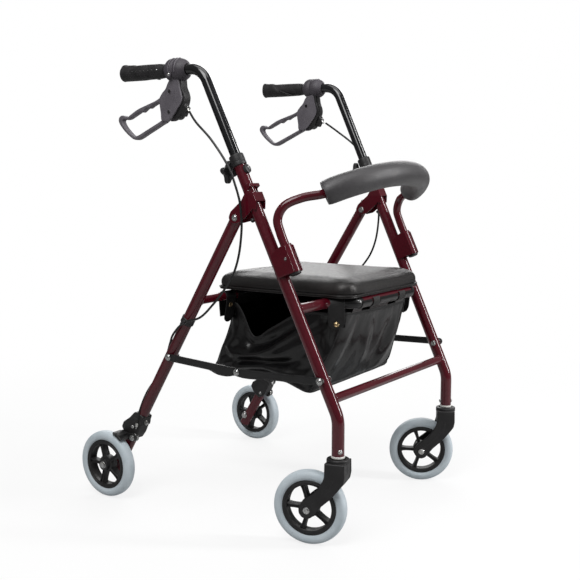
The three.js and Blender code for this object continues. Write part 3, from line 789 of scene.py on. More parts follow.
@material
def nylon(surf):
    base = surf.mottle(scale=60, dark=srgb(226, 226, 220), light=srgb(242, 242, 238))
    surf.set(Subsurface_Weight=0.15, Subsurface_Radius=(0.003, 0.003, 0.003))
    surf.relief(scale=900, detail=2, strength=0.1, distance=0.0002)
    return base, surf.gloss(scale=300, low=0.35, high=0.5)


@material
def foam(surf):
    """skinned foam: fine cells and soft mottling"""
    base = surf.mottle(scale=16, detail=4, dark=srgb(54, 52, 54), light=srgb(64, 62, 64))
    cells = surf.ramp(surf.noise(scale=1500), low=0.5, high=0.8)
    base = surf.tint(base, cells, amount=0.5, colour=srgb(34, 33, 34))
    surf.set(Sheen_Weight=0.16, Sheen_Roughness=0.45, Specular_IOR_Level=0.6)
    surf.bump(surf.voronoi(scale=1300), strength=0.28, distance=0.0005)
    surf.relief(scale=45, strength=0.12, distance=0.003)
    return base, surf.gloss(scale=220, low=0.38, high=0.50)


@material
def seat_vinyl(surf):
    """leather grain: cells parted by creases, which carry painted shade"""
    base = surf.mottle(scale=14, detail=4, dark=srgb(18, 17, 17), light=srgb(26, 24, 24))
    crease = surf.voronoi(scale=620, feature="DISTANCE_TO_EDGE")
    # painted shade: the creases are darkened towards near black as if shadowed
    depth = surf.ramp(crease, low=0.0, high=0.10, to_low=0.5, to_high=0.0)
    base = surf.mix(depth, base, srgb(12, 12, 12))
    surf.set(Specular_IOR_Level=0.48, Coat_Weight=0.10, Coat_Roughness=0.24,
             Specular_Tint=(1.0, 0.965, 0.95, 1.0))
    surf.bump(surf.ramp(crease, low=0.0, high=0.22), strength=0.22, distance=0.0005)
    surf.relief(scale=300, roughness=0.55, distortion=0.6, strength=0.08, distance=0.001)
    surf.relief(scale=26, strength=0.14, distance=0.004)
    return base, surf.gloss(scale=160, low=0.38, high=0.48)


@material
def bag_vinyl(surf):
    """coated cloth: soft wrinkles and a fine weave"""
    base = surf.mottle(scale=18, detail=4, dark=srgb(5, 5, 6), light=srgb(10, 9, 10))
    weave = surf.combine("ADD", surf.wave(scale=900, axis="X"), surf.wave(scale=900, axis="Z"))
    surf.set(Specular_IOR_Level=0.28, Coat_Weight=0.40, Coat_Roughness=0.14)
    surf.bump(weave, strength=0.03, distance=0.0003)
    surf.relief(scale=34, distortion=0.8, strength=0.10, distance=0.004)
    surf.relief(scale=480, strength=0.025, distance=0.0008)
    return base, surf.gloss(scale=90, low=0.30, high=0.42)


@material
def bag_trim(surf):
    """ribbed webbing of hems and straps"""
    base = surf.mottle(scale=60, detail=4, dark=srgb(15, 15, 16), light=srgb(26, 25, 26))
    surf.bump(surf.wave(scale=1100, axis="Z"), strength=0.15, distance=0.0004)
    surf.relief(scale=900, strength=0.25, distance=0.0004)
    return base, surf.gloss(scale=200, low=0.45, high=0.6)


@material
def cable(surf):
    base = surf.mottle(scale=60, detail=4, dark=srgb(20, 20, 20), light=srgb(32, 32, 32))
    surf.relief(scale=1500, detail=2, strength=0.15, distance=0.0002)
    return base, surf.gloss(scale=200, low=0.32, high=0.46)


@material
def board(surf):
    """dark fibre board under the seat"""
    base = surf.mottle(scale=90, detail=5, dark=srgb(22, 21, 21), light=srgb(38, 36, 35))
    surf.relief(scale=1300, detail=4, strength=0.4, distance=0.0004)
    return base, surf.gloss(scale=200, low=0.5, high=0.7)


@material
def thread(surf):
    base = surf.mottle(scale=600, dark=srgb(38, 37, 38), light=srgb(58, 56, 57))
    surf.bump(surf.wave(scale=3000, axis="DIAGONAL"), strength=0.4, distance=0.0002)
    return base, 0.6


# frame slot of each material whose slot has another name
SLOTS = {"lever_grey": "grey_plastic", "black_steel": "black_plastic", "brass": "zinc",
         "bag_trim": "bag_vinyl", "board": "black_plastic", "thread": "bag_vinyl"}


# ------------------------------------------------------------------ objects
def to_metres(points):
    return (np.asarray(points, float) + vec(0, SHIFT_Y, 0)) / 1000


def to_mm(points):
    return points * 1000 - vec(0, SHIFT_Y, 0)


def new_object(name, part):
    mesh = bpy.data.meshes.new(name)
    mesh.from_pydata(to_metres(part[0]).tolist(), [], part[1])
    made = bpy.data.objects.new(name, mesh)
    bpy.context.scene.collection.objects.link(made)
    return made


def shade(mesh, sharp_angle=38):
    mesh.shade_smooth()
    mesh.set_sharp_from_angle(angle=radians(sharp_angle))


def weight_normals(made):
    made.modifiers.new("weighted", "WEIGHTED_NORMAL").keep_sharp = True


def add(name, part, finish, body=None, replaces=None, sharp_angle=38, weighted=True):
    """makes the object and tells the frame what it rides on and which piece it replaces"""
    made = new_object(name, part)
    made.data.validate(clean_customdata=False)
    made.data.materials.append(MATERIALS[finish])
    shade(made.data, sharp_angle)
    if weighted:
        weight_normals(made)
    if body:
        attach(made, body)
    if replaces:
        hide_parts(replaces)
    SLOTS.get(finish, finish)
    return made


def pair(name, part, finish, body, replaces="", **options):
    """the +X part and its mirror; frame names ending in _ get the side's letter"""
    out = []
    for tag in ("l", "r"):
        body_name, old_name = (n + tag if n.endswith("_") else n for n in (body, replaces))
        out.append(add(f"{name}_{tag}", part if tag == "l" else mirrored(part), finish,
                       body_name, old_name, **options))
    return out


def cut(made, part):
    """cuts a closed part out of the object's own mesh"""
    cutter = new_object("cutter", part)
    boolean = made.modifiers.new("cut", "BOOLEAN")
    boolean.operation, boolean.solver, boolean.object = "DIFFERENCE", "EXACT", cutter
    bpy.context.view_layer.update()
    graph = bpy.context.evaluated_depsgraph_get()
    mesh = bpy.data.meshes.new_from_object(made.evaluated_get(graph))
    made.modifiers.clear()
    made.data = mesh
    shade(mesh)
    bpy.data.objects.remove(cutter)
    weight_normals(made)


# ------------------------------------------------------------------ frame tubes
SEAT_TUBE_BEND = vec(152, -207, 473)  # where the seat tube turns inwards
SEAT_TUBE_CORNER = vec(128, *SEAT_HINGE)


def front_frame():
    """uprights, crossbar, seat tube and their welds"""
    parts = []
    for side in (1, -1):
        path = [vec(*STEM, 187), vec(*STEM, 261.7), upright(770)]
        parts.append(pipe(fillet([p * vec(side, 1, 1) for p in path], 70, 3), FRAME_TUBE_R, 11.75))
    cross = upright(CROSSBAR_Z)
    end = cross - vec(5, 0, 0)
    parts.append(tube([end * MIRROR_X, end], CROSS_R))
    joint = upright(SEAT_TUBE_Z)
    half = [joint - vec(4, 3, 0), SEAT_TUBE_BEND, SEAT_TUBE_CORNER]
    seat_path = half + [p * MIRROR_X for p in reversed(half)]
    parts.append(tube(fillet(seat_path, 30, 4), SEAT_TUBE_R, 44))
    for side in (1, -1):
        flip = vec(side, 1, 1)
        parts.append(weld(cross * flip, UP_DIR * flip, FRAME_TUBE_R, cross * vec(0, 1, 1),
                          X * side, CROSS_R, bead=1.7, seed=side))
        start = SEAT_TUBE_BEND * flip
        parts.append(weld(joint * flip, UP_DIR * flip, FRAME_TUBE_R, start,
                          unit(joint * flip - start), SEAT_TUBE_R, bead=1.8, seed=2 * side))
    return join(*parts)


LEG_TOP, LEG_FOOT = leg(667), leg(52)
REAR_CROSS = leg(REAR_CROSS_Z)


def rear_frame():
    """legs, cross tube and their welds"""
    parts = []
    for side in (1, -1):
        path = [p * vec(side, 1, 1) for p in (LEG_TOP, leg(560), leg(400), LEG_FOOT)]
        parts.append(pipe(path, FRAME_TUBE_R, 11.5))
    end = REAR_CROSS - vec(5, 0, 0)
    parts.append(tube([end * MIRROR_X, end], CROSS_R))
    for side in (1, -1):
        flip = vec(side, 1, 1)
        parts.append(weld(REAR_CROSS * flip, LEG_DIR * flip, FRAME_TUBE_R,
                          REAR_CROSS * vec(0, 1, 1), X * side, CROSS_R, bead=1.7, seed=5 * side))
    return join(*parts)


def leg_plug(end, axis):
    radius, bore = FRAME_TUBE_R, 11.3
    return lathe([(0, -9), (bore, -9), (bore, 0), (radius - 0.4, 0), (radius, 0.5), (radius, 1.8),
                  (radius - 1.2, 2.8), (radius * 0.5, 3.4), (0, 3.5)], end, axis, 40)


add("front_frame_tubes", front_frame(), "frame_paint", "root", "front_frame")
add("rear_frame_tubes", rear_frame(), "frame_paint", "rear", "rear_frame")
pair("leg_end_plug", leg_plug(LEG_FOOT, LEG_DIR), "black_plastic", "rear")
pair("leg_top_plug", leg_plug(LEG_TOP, -LEG_DIR), "black_plastic", "rear")

# ------------------------------------------------------------------ brackets on the uprights
CHEEK = [
    (-87.3, 698.0), (-79.5, 685.5), (-53, 663.5), (-47.6, 652), (-50.5, 643), (-60, 638.5),
    (-78.5, 643), (-96, 657), (-108.5, 671), upright_yz(664, 8), upright_yz(679, 16.4),
    upright_yz(697, 16.4), upright_yz(699, 8), upright_yz(706.5, 7.5), upright_yz(708.5, 16.4),
    upright_yz(714.5, 16.4), upright_yz(717, 4)]
CHEEK_ROUNDS = [4, 5, 8, 9, 9, 9, 6, 12, 5, 2, 1.2, 1.2, 3, 3, 1.2, 1.2, 3]


def hinge_bracket():
    """two cheeks and two front webs"""
    outline = round2(CHEEK, CHEEK_ROUNDS)
    parts = [slab_x(outline, 272.7, 275.1, 0.5, 2), slab_x(outline, 241.2, 243.7, 0.5, 2)]
    for low, high in ((679, 697), (708.5, 714.5)):
        web = [upright_yz(low, 14.2), upright_yz(low, 16.6), upright_yz(high, 16.6),
               upright_yz(high, 14.2)]
        parts.append(slab_x(round2(web, 0.5), 242.0, 274.2, 0.8, 2))
    return join(*parts)


SLEEVE_FOOT, SLEEVE_TOP, BUTTON = hoop_leg(532), hoop_leg(585), hoop_leg(560)


def backrest_bracket():
    """two plates beside the upright, a web and the sleeve for the hoop"""
    plate = [(533.5, -1), (574, -1), (579, 5), (583.5, 20), (584.5, 41), (531.5, 41), (532.5, 20)]
    plate = round2([upright_yz(*p) for p in plate], [5, 5, 3, 6, 4, 4, 6])
    web = [upright_yz(*p) for p in ((534, 22), (583.5, 22), (583.5, 24), (534, 24))]
    return join(slab_x(plate, 269.8, 272.2, 0.5, 2), slab_x(plate, 240.4, 242.8, 0.5, 2),
                slab_x(round2(web, 0.5), 241.4, 271.2, 0.6, 2),
                pipe([SLEEVE_FOOT, SLEEVE_TOP], 12.6, 9.9, 44))


pair("hinge_bracket_shell", hinge_bracket(), "frame_paint", "root", "hinge_bracket_")
pair("hinge_bumper", lathe([(0, 0), (4.6, 0), (4.9, 0.6), (4.6, 5.5), (3.6, 6.6), (0, 7)],
                           vec(262, -97.5, 648.5), vec(0, -0.75, -0.66), 28),
     "black_plastic", "root")
pair("backrest_sleeve", backrest_bracket(), "frame_paint", "root", "backrest_bracket_")
pair("sleeve_plug", lathe([(0, -3), (9.6, -3), (9.6, 0), (11.6, 0.2), (11.9, 1.4), (11.0, 4.2),
                           (8.5, 5.2), (0, 5.4)], SLEEVE_FOOT, -UP_DIR * vec(0, 1, 1), 36),
     "black_plastic", "root")
pair("sleeve_button", lathe([(0, 11.7), (3.2, 11.7), (3.2, 16.6), (2.7, 17.6), (1.6, 18.1),
                             (0, 18.2)], BUTTON, X, 28),
     "zinc", "button_", "backrest_button_")
pair("button_collar", lathe([(3.9, 15.9), (5.2, 15.9), (5.2, 16.5), (4.7, 16.8), (3.9, 16.8),
                             (3.9, 15.9)], BUTTON, X, 28), "frame_paint", "root")

# ------------------------------------------------------------------ backrest
HOOP_HALF = [hoop_leg(540), hoop_leg(575), hoop_leg(610), vec(254.5, -155.5, 650),
             vec(247, -166, 676), vec(224, -193, 692)]
HOOP_PATH = (HOOP_HALF + [pad_point(1 - i / 4) for i in range(9)]
             + [p * MIRROR_X for p in reversed(HOOP_HALF)])


def foam_pad():
    """foam sleeve with soft cut ends and a bore for the hoop"""
    count, sides, radius, bore_count = 110, 56, 26.6, 40
    path = np.array([pad_point(u) for u in np.linspace(1, -1, count)])
    tangents, normals, binormals = frames(path, Z)
    run = travelled(path)
    points, faces, bore = [], [], []

    def spokes(i):
        return [normals[i] * a + binormals[i] * b for a, b in circle(1.0, sides)]

    def add_ring(i, ring_radius, shift=0.0):
        points.extend(path[i] + tangents[i] * shift + s * ring_radius for s in spokes(i))
        return range(len(points) - sides, len(points))

    for i in range(count):
        from_end = min(run[i], run[-1] - run[i])
        soft = 0.055 * exp(-(from_end / 3.0) ** 2) + 0.03 * exp(-(from_end / 14.0) ** 2)
        size = radius * (1.0 - soft)
        for spoke_dir in spokes(i):
            place = Vector(path[i] + spoke_dir * size)
            lump = noise.noise(place * 0.028) * 0.35 + noise.noise(place * 0.11) * 0.12
            points.append(path[i] + spoke_dir * (size + lump - 0.3))
    rows = index_rings(count, sides)
    for low, high in zip(rows[:-1], rows[1:]):
        faces += bridge(low, high)
    # end faces: (radius, stand-out) rings down to the hoop
    for end, sign in ((0, -1), (count - 1, 1)):
        previous = rows[end]
        for ring_radius, out in ((24.4, 0.5), (22.5, 0.45), (17, 0.1), (12.2, -0.3), (10.2, -1.4)):
            ring = add_ring(end, ring_radius, sign * out)
            faces += bridge(previous, ring) if sign > 0 else bridge(ring, previous)
            previous = ring
        bore.append(previous)
    for i in range(1, bore_count):
        station = min(count - 1, int(round(i / bore_count * (count - 1))))
        bore.insert(-1, add_ring(station, 10.0))
    for low, high in zip(bore[:-1], bore[1:]):
        faces += bridge(low, high, back=True)
    return facing_out(np.array(points), faces)


add("backrest_hoop", tube(spline(HOOP_PATH, 170), HOOP_R, 36), "frame_paint", "backrest",
    "backrest_tube")
add("backrest_foam", foam_pad(), "foam", "backrest", "backrest_pad", sharp_angle=50)

# ------------------------------------------------------------------ collar, handle tube, knob
COLLAR = [  # radius, height
    (12.9, -2), (13.6, -2), (15.0, -1.6), (15.6, -0.8), (15.6, 5.5), (15.1, 6.2), (15.1, 7.2),
    (15.6, 7.9), (15.6, 19.4), (15.0, 21.2), (13.8, 22), (11.7, 22), (11.4, 21.4), (11.4, 14.6),
    (12.9, 14.6), (12.9, -2)]
HANDLE_PATH = fillet([upright(618), upright(752), HANDLE_CORNER,
                      vec(GRIP_X, HANDLE_END_Y, HANDLE_Z)], [0, 45], 3)
HOLE_PITCH = 24.5


def handle_holes():
    """rods for the row of holes in the handle tube"""
    axis = unit(vec(0.82, 0.57, 0))
    return join(*[rod(upright(KNOB_Z - 4.5) + UP_DIR * HOLE_PITCH * (i - 2), axis, 3.5, 4, 22, 24)
                  for i in range(9)])


def knob():
    """four-lobed star with a hub and a cap"""
    outline = []
    for i in range(144):
        a = i / 144 * 2 * pi
        radius = 14.2 + 9.4 * abs(cos(2 * (a - 0.17))) ** 2.6
        outline.append((radius * cos(a), radius * sin(a)))
    points, faces = slab_z(outline, 0, 11, 2.6, 4)
    points = np.stack([points[:, 0] + KNOB_X, KNOB_Y + 18 - points[:, 2],
                       points[:, 1] + KNOB_Z], 1)
    hub = lathe([(0, 0), (8.2, 0), (8.6, 0.6), (7.2, 4.5), (7.0, 12.5), (0, 12.5)],
                vec(KNOB_X, KNOB_Y - 4.2, KNOB_Z), Y, 40)
    crown = lathe([(0, 0), (8.5, 0), (8.1, 1.3), (6.2, 2.1), (0, 2.4)],
                  vec(KNOB_X, KNOB_Y + 17.6, KNOB_Z), Y, 40)
    return join(facing_out(points, faces), hub, crown)


NUT_PLACE = upright(744) + AHEAD * 12.4
NUT_PLACE[0] = KNOB_X

pair("upright_collar", lathe(COLLAR, upright(757), UP_DIR, 56), "black_plastic", "root",
     "height_collar_")
left_handle, right_handle = pair("handle_bar", pipe(HANDLE_PATH, HANDLE_R, 9.4), "black_paint",
                                 "handle_", "handle_tube_", weighted=False)
cut(left_handle, handle_holes())
cut(right_handle, mirrored(handle_holes()))
pair("knob_star", knob(), "black_plastic", "knob_", "height_knob_")
pair("height_nut", lathe([(0, -1), (9.6, -1), (9.8, 0.4), (9.2, 4.6), (7.6, 5.8), (0, 6.2)],
                         NUT_PLACE, AHEAD, 40), "black_plastic", "root")
pair("height_bolt_end", hexhead(NUT_PLACE + AHEAD * 6.0, AHEAD, 4.4, 2.2), "zinc", "root")

# ------------------------------------------------------------------ grips
GRIP_FRONT, GRIP_REAR = 121.0, 243.0


def grip_radius(t):
    """radius at t, from 0 at the grip's front end to 1 at its rear"""
    return 13.6 + 1.9 * min(1, t / 0.13) + 0.9 * sin(pi * min(1, max(0, (t - 0.1) / 0.9)))


def past_ridge(t, rise):
    """0 ahead of the slanting ridge, 1 behind it; rise is the sine of the angle"""
    ridge = 0.46 + 0.30 * (rise * 0.5 + 0.5)
    return 1 / (1 + exp(-(t - ridge) * 60))


def grip_body():
    count, sides = 64, 96
    points, faces = [], []
    for i in range(count + 1):
        t = i / count
        y = GRIP_FRONT + (GRIP_REAR - GRIP_FRONT - 1.2) * t
        base = 13.9 if t < 0.03 else grip_radius(t)
        for out, rise in circle(1.0, sides):  # starts at +X, then goes up
            inboard, top = max(0.0, -out), max(0, rise) ** 2
            radius = base + past_ridge(t, rise) * (
                2.6 * inboard + 4.2 * top * (0.45 + inboard) * (0.4 + 0.6 * t))
            radius += 2.2 * top * max(0, (t - 0.86) / 0.14) ** 2
            radius -= 0.5 * max(0.0, -rise) ** 3 * sin(pi * t)  # flatter underneath
            points.append((GRIP_X + radius * out, y, HANDLE_Z + radius * rise))
    rows = index_rings(count + 1, sides)
    for low, high in zip(rows[:-1], rows[1:]):
        faces += bridge(low, high, back=True)

    def add_ring(radius, y):
        points.extend((GRIP_X + a, y, HANDLE_Z + b) for a, b in circle(radius, sides))
        return range(len(points) - sides, len(points))

    # rear end: flange lip and closed cap
    previous = rows[-1]
    for radius, y in ((16.4, 0), (13.6, 0.2), (12.0, -1.0), (5.0, -1.2)):
        ring = add_ring(radius, GRIP_REAR + y)
        faces += bridge(previous, ring, back=True)
        previous = ring
    centre = len(points)
    points.append((GRIP_X, GRIP_REAR - 1.2, HANDLE_Z))
    faces += [(previous[j], centre, previous[(j + 1) % sides]) for j in range(sides)]
    # front mouth and the blind bore
    mouth = add_ring(11.35, GRIP_FRONT - 0.2)
    bottom = add_ring(11.3, GRIP_FRONT + 60)
    faces += bridge(mouth, rows[0], back=True) + bridge(bottom, mouth, back=True)
    centre = len(points)
    points.append((GRIP_X, GRIP_FRONT + 60, HANDLE_Z))
    faces += [(bottom[j], bottom[(j + 1) % sides], centre) for j in range(sides)]
    return facing_out(np.array(points, float), faces)


def grip():
    """body, raised pips on the outboard face and a curved lip on the inboard underside"""
    parts = [grip_body()]
    for row, angle in enumerate((-38, -22, -6, 10, 26, 42, 58)):
        rise = sin(radians(angle))
        axis = vec(cos(radians(angle)), 0, rise)
        for i in range(12):
            y = 143 + i * 7.8 + (3.9 if row % 2 else 0)
            if y > 234:
                continue
            t = (y - GRIP_FRONT) / (GRIP_REAR - GRIP_FRONT)
            radius = grip_radius(t) + (past_ridge(t, rise) * 2.4 * max(0, rise) ** 2 * 0.35
                                       * (0.4 + 0.6 * t))
            parts.append(lathe([(0, -0.6), (1.35, -0.6), (1.25, 0.25), (0.8, 0.6), (0, 0.72)],
                               vec(GRIP_X, y, HANDLE_Z) + axis * (radius - 0.1), axis, 10))
    count = 28
    lip, taper = [], []
    for i in range(count):
        run = i / (count - 1)
        a = radians(-118 - 62 * run)
        lip.append(vec(GRIP_X + 16.8 * cos(a), 146 + 46 * run, HANDLE_Z + 18.0 * sin(a)))
        grow, fade = min(1, (i + 0.6) / 8), min(1, (count - i) / 10)
        taper.append(max(0.12, sin(pi * grow / 2) * sin(pi * fade / 2)))
    parts.append(sweep(lip, circle(2.1, 16, 3.3), scale=taper))
    return join(*parts)


pair("hand_grip", grip(), "grip_rubber", "handle_", "grip_", sharp_angle=60)

# ------------------------------------------------------------------ brake housing
CLAMP = [  # radius, y
    (11.6, 64.4), (13, 64), (16.2, 66), (19.8, 70), (22.4, 75), (23.8, 80.5), (24.3, 86),
    (23.8, 90), (22.4, 92.2), (21.9, 93.6), (22.4, 95), (23.9, 97.2), (24.4, 101), (24.2, 105),
    (22.8, 109), (20.2, 112.6), (17.4, 116), (14.8, 119), (13.4, 120.2), (11.6, 120.2),
    (11.6, 64.4)]
HOUSING = [
    (104, 945), (79.5, 947), (77.6, 934), (76.6, 921), (70.0, 906), (68.4, 896), (71.5, 884),
    (77, 873.5), (79.5, 867), (86.5, 856), (95, 852.6), (101, 856), (105, 872), (108, 884),
    (112, 900), (112, 918), (105, 930)]
CABLE_LUG = [(63.5, 876.5), (72, 883), (84, 872), (81, 860), (74, 858)]
HOUSING_NECK = [(84, 952), (84, 938), (112, 938), (112, 952)]
CABLE_EXIT, CABLE_EXIT_DIR = vec(263, 66.0, 873.2), unit(vec(0.5, -31, -44))
CLAMP_SCREW_YZ = (98.4, 944.6)


def clamp_ribs():
    """three ribs over the top and outer side of the clamp"""
    radius = 24.0
    ribs = []
    for y in (81.5, 89.0, 97.5):
        path = [vec(x, y, z) for x, z in arc((GRIP_X, HANDLE_Z), radius, range(-14, 84, 6))]
        ribs.append(sweep(path, circle(1.5, 12, 1.3)))
    return join(*ribs)


def grip_glint_studs():
    """row of studs along the grip's outer face, the first one wider; their pale zinc is a painted
    highlight standing for glints on the rubber
    """
    axis = unit(vec(1, 0, 0.12))
    studs = []
    for i, y in enumerate((137, 150, 161, 172, 183, 195, 206)):
        foot, top = (1.9, 1.8) if i == 0 else (1.15, 1.0)
        studs.append(lathe([(0, -1), (foot, -1), (top, 0.9), (0.8, 1.5), (0, 1.7)],
                           vec(GRIP_X, y, HANDLE_Z) + axis * 15.6, axis, 20))
    return join(*studs)


pair("lever_housing", join(slab_x(smooth2(HOUSING, 110), 249.8, 271.6, 2.6, 4),
                           slab_x(round2(CABLE_LUG, 2.5), 256, 270, 1.5, 3),
                           slab_x(round2(HOUSING_NECK, 4), 250.2, 272.6, 3.0, 3)),
     "black_plastic", "handle_", "brake_housing_")
pair("lever_clamp", join(
    lathe(CLAMP, vec(GRIP_X, 0, HANDLE_Z), Y, 72),
    lathe([(0, 0), (7.2, 0), (7.2, 1.8), (6.4, 2.6), (4.4, 2.7), (4.4, 1.2), (0, 1.2)],
          vec(284.6, *CLAMP_SCREW_YZ), X, 36)), "grey_plastic", "handle_")
pair("clamp_ribs", clamp_ribs(), "lever_grey", "handle_")
# painted highlight: the studs are pale zinc so they show as the bright glints on the black rubber grip
pair("grip_glint_studs", grip_glint_studs(), "zinc", "handle_")
pair("clamp_screw", screw(vec(286.0, *CLAMP_SCREW_YZ), X, 3.8, 2.0), "zinc", "handle_")
pair("pivot_pin", lathe([(0, -22), (3.6, -22), (3.6, 2.6), (3.1, 3.3), (0.9, 3.4), (0, 2.6)],
                        vec(273.4, *LEVER_PIN), X, 28), "black_plastic", "handle_")
pair("cable_ferrule", lathe([(0, -9), (4.2, -9), (4.2, -4), (3.4, -3.4), (3.4, 1.5), (2.7, 2.2),
                             (2.7, 6.5), (2.4, 7.2), (0, 7.2)], CABLE_EXIT, CABLE_EXIT_DIR, 28),
     "zinc", "handle_")
pair("cable_adjuster", lathe([(0, -12), (5.4, -12), (5.6, -11.4), (5.6, -6.2), (5.2, -5.6),
                              (0, -5.6)], CABLE_EXIT, CABLE_EXIT_DIR, 20),
     "black_plastic", "handle_")

# ------------------------------------------------------------------ brake lever
LEVER_CHEEK = [
    (104.8, 934), (84, 937.5), (80.5, 930), (79.2, 921), (74.5, 906), (72.7, 897), (76, 886),
    (83.6, 875.5), (92, 865), (101.2, 856), (110, 851), (120, 850), (128, 851.5), (130.4, 868),
    (133, 884), (133.3, 897.7), (125, 909), (116.2, 917)]
LOOP_OUTER = [
    (118, 852), (140, 840), (176, 823.6), (196, 814.4), (206, 811.6), (217, 813.5), (229, 820.6),
    (243, 831.6), (256, 845.6), (260.4, 854), (259.6, 861), (255, 866), (248, 867.4),
    (240.5, 865.2), (233.4, 863.8), (222, 869.5), (204, 878.4), (176, 887.4), (150, 895.4),
    (136, 901.5), (125, 902), (118.5, 890), (118, 870)]
LOOP_INNER = [
    (129.5, 856), (138, 850.6), (146, 847.0), (176, 833.8), (204, 822.0), (212, 820.2),
    (219, 822.6), (231, 832.0), (241, 841.6), (247.0, 850), (248.0, 855), (243, 857.6),
    (236, 856.4), (228, 857.6), (219, 861.4), (211, 865), (203, 868.6), (195.5, 872), (189, 871),
    (181.5, 875.4), (175, 879), (168.5, 878.6), (160, 883), (150, 887), (140.6, 889),
    (132.4, 882), (129.6, 868)]
LEVER_BLOCK = [(119.5, 857), (124, 852.2), (128.4, 854), (127.4, 866), (129.4, 880),
               (133, 887.6), (129, 899), (120, 900.5)]
LEVER_SCREW = (107.2, 868.5)
CHEEK_FACE_X = 277.0


def lever():
    """two cheeks, the finger loop and the block that ties them"""
    cheek = smooth2(LEVER_CHEEK, 120)
    holes = [circle_at(LEVER_PIN, 4.0, 28)]
    parts = [slab_x(cheek, 272.0, CHEEK_FACE_X, 1.1, 4, holes),
             slab_x(inset2(cheek, 0.8), 246.6, 249.4, 0.7, 3, holes)]
    # rims round the pin and the screw
    for place, radius in ((LEVER_PIN, 5.6), (LEVER_SCREW, 5.4)):
        parts.append(lathe([(radius - 1.3, -0.6), (radius, -0.6), (radius, 0.35),
                            (radius - 0.5, 0.7), (radius - 1.3, 0.5), (radius - 1.3, -0.6)],
                           vec(CHEEK_FACE_X, *place), X, 36))
    # lens-shaped line on the outer cheek: bow of each side, its bar radius
    for bow, radius in ((5.6, 0.55), (-3.5, 0.45)):
        line = [vec(276.9, 88.2 + bow * sin(pi * i / 24), 915 - 40 * i / 24) for i in range(25)]
        parts.append(sweep(line, circle(radius, 8)))
    parts.append(slab_x(inset2(smooth2(LOOP_OUTER, 150), 0.9), 256.6, 271.4, 3.0, 5,
                        holes=[smooth2(LOOP_INNER, 130)]))
    parts.append(slab_x(round2(LEVER_BLOCK, 1.5), 246.8, 276.4, 0.8, 2))
    return join(*parts)


pair("lever_loop", lever(), "lever_grey", "lever_", "brake_lever_", sharp_angle=42)
pair("lever_screw", lathe([(0, -1), (4.0, -1), (3.7, 0.2), (2.2, 0.9), (1.2, 1.0), (0.8, 0.3),
                           (0, 0.3)], vec(CHEEK_FACE_X, *LEVER_SCREW), X, 28),
     "black_plastic", "lever_")


# ------------------------------------------------------------------ pivots and links
def pivot_bolt():
    return join(rod(vec(275.6, *PIVOT), X, 4, -39.5, 0.8),
                cap(vec(275.2, *PIVOT), X, 7.0, 5.6, 2.6),
                nut(vec(241.2, *PIVOT), -X, 7.0, 6.2, 4.0, thick=0.9))


def link_bolt(place, x_inner, x_outer, with_nut):
    parts = [rod(vec(x_inner, *place), X, 3, 0, x_outer - x_inner, 24),
             cap(vec(x_outer, *place), X, 7.3, 6.0, 3.0, thick=1.0, lift=0.9)]
    if with_nut:
        parts.append(nut(vec(x_inner + 1.0, *place), -X, 6.4, 5.6, 4.2, turn=0.3))
    return join(*parts)


# bulges on the links' lower edges: fraction of the length, depth
FRONT_BULGE = [(0.66, 0.0), (0.70, 0.9), (0.76, 2.2), (0.84, 2.9), (0.92, 2.4), (0.97, 1.0)]
REAR_BULGE = [(0.02, 0.0), (0.06, 1.5), (0.10, 4.2), (0.15, 6.2), (0.21, 6.8), (0.27, 6.4),
              (0.32, 4.4), (0.36, 1.8), (0.40, 0.2)]


def link_bar(start, end, x0, bulge):
    """round-ended bar whose outer face is pressed in inside its rim"""
    radius, thick = 8.0, 3
    start, end = np.array(start), np.array(end)
    along = unit(end - start)
    up = vec(-along[1], along[0])
    run = along * float(norm(end - start))
    turns = [pi * i / 16 for i in range(17)]
    outline = [end + radius * (sin(t) * along - cos(t) * up) for t in turns]
    outline += [start + run * part + up * radius for part in (0.75, 0.5, 0.25)]
    outline += [start + radius * (cos(t) * up - sin(t) * along) for t in turns]
    outline += [start + run * part - up * (radius + depth) for part, depth in bulge]
    face = x0 + thick
    pressed = [(0.5, face), (2.3, face), (3.0, x0 + 2.2)]
    return slab_yz(outline, levels(x0, face, 0.5, 2)[:-1] + pressed)


pair("main_pivot", pivot_bolt(), "zinc", "root", "pivot_bolt_")
pair("front_link_bolt", join(link_bolt(LINK_FRONT, 238.5, 272.8, True),
                             spacer(vec(265.2, *LINK_FRONT), X, 3, 6, 4.4, 28)),
     "zinc", "root", "link_bolt_front_")
pair("rear_link_bolt", link_bolt(LINK_REAR, 239.8, 269.4, True), "zinc", "rear",
     "link_bolt_rear_")
pair("mid_link_bolt", link_bolt(LINK_MIDDLE, 269.9, 272.8, False), "zinc", "front_link_",
     "link_bolt_mid_")
pair("mid_link_nut", nut(vec(REAR_LINK_X, *LINK_MIDDLE), -X, 6.6, 5.8, 4.4, lift=1.0, turn=0.2),
     "zinc", "rear_link_")
pair("side_link_front", link_bar(LINK_FRONT, LINK_MIDDLE, FRONT_LINK_X, FRONT_BULGE),
     "black_steel", "front_link_", "front_link_")
pair("side_link_rear", link_bar(LINK_MIDDLE, LINK_REAR, REAR_LINK_X, REAR_BULGE),
     "black_steel", "rear_link_", "rear_link_")

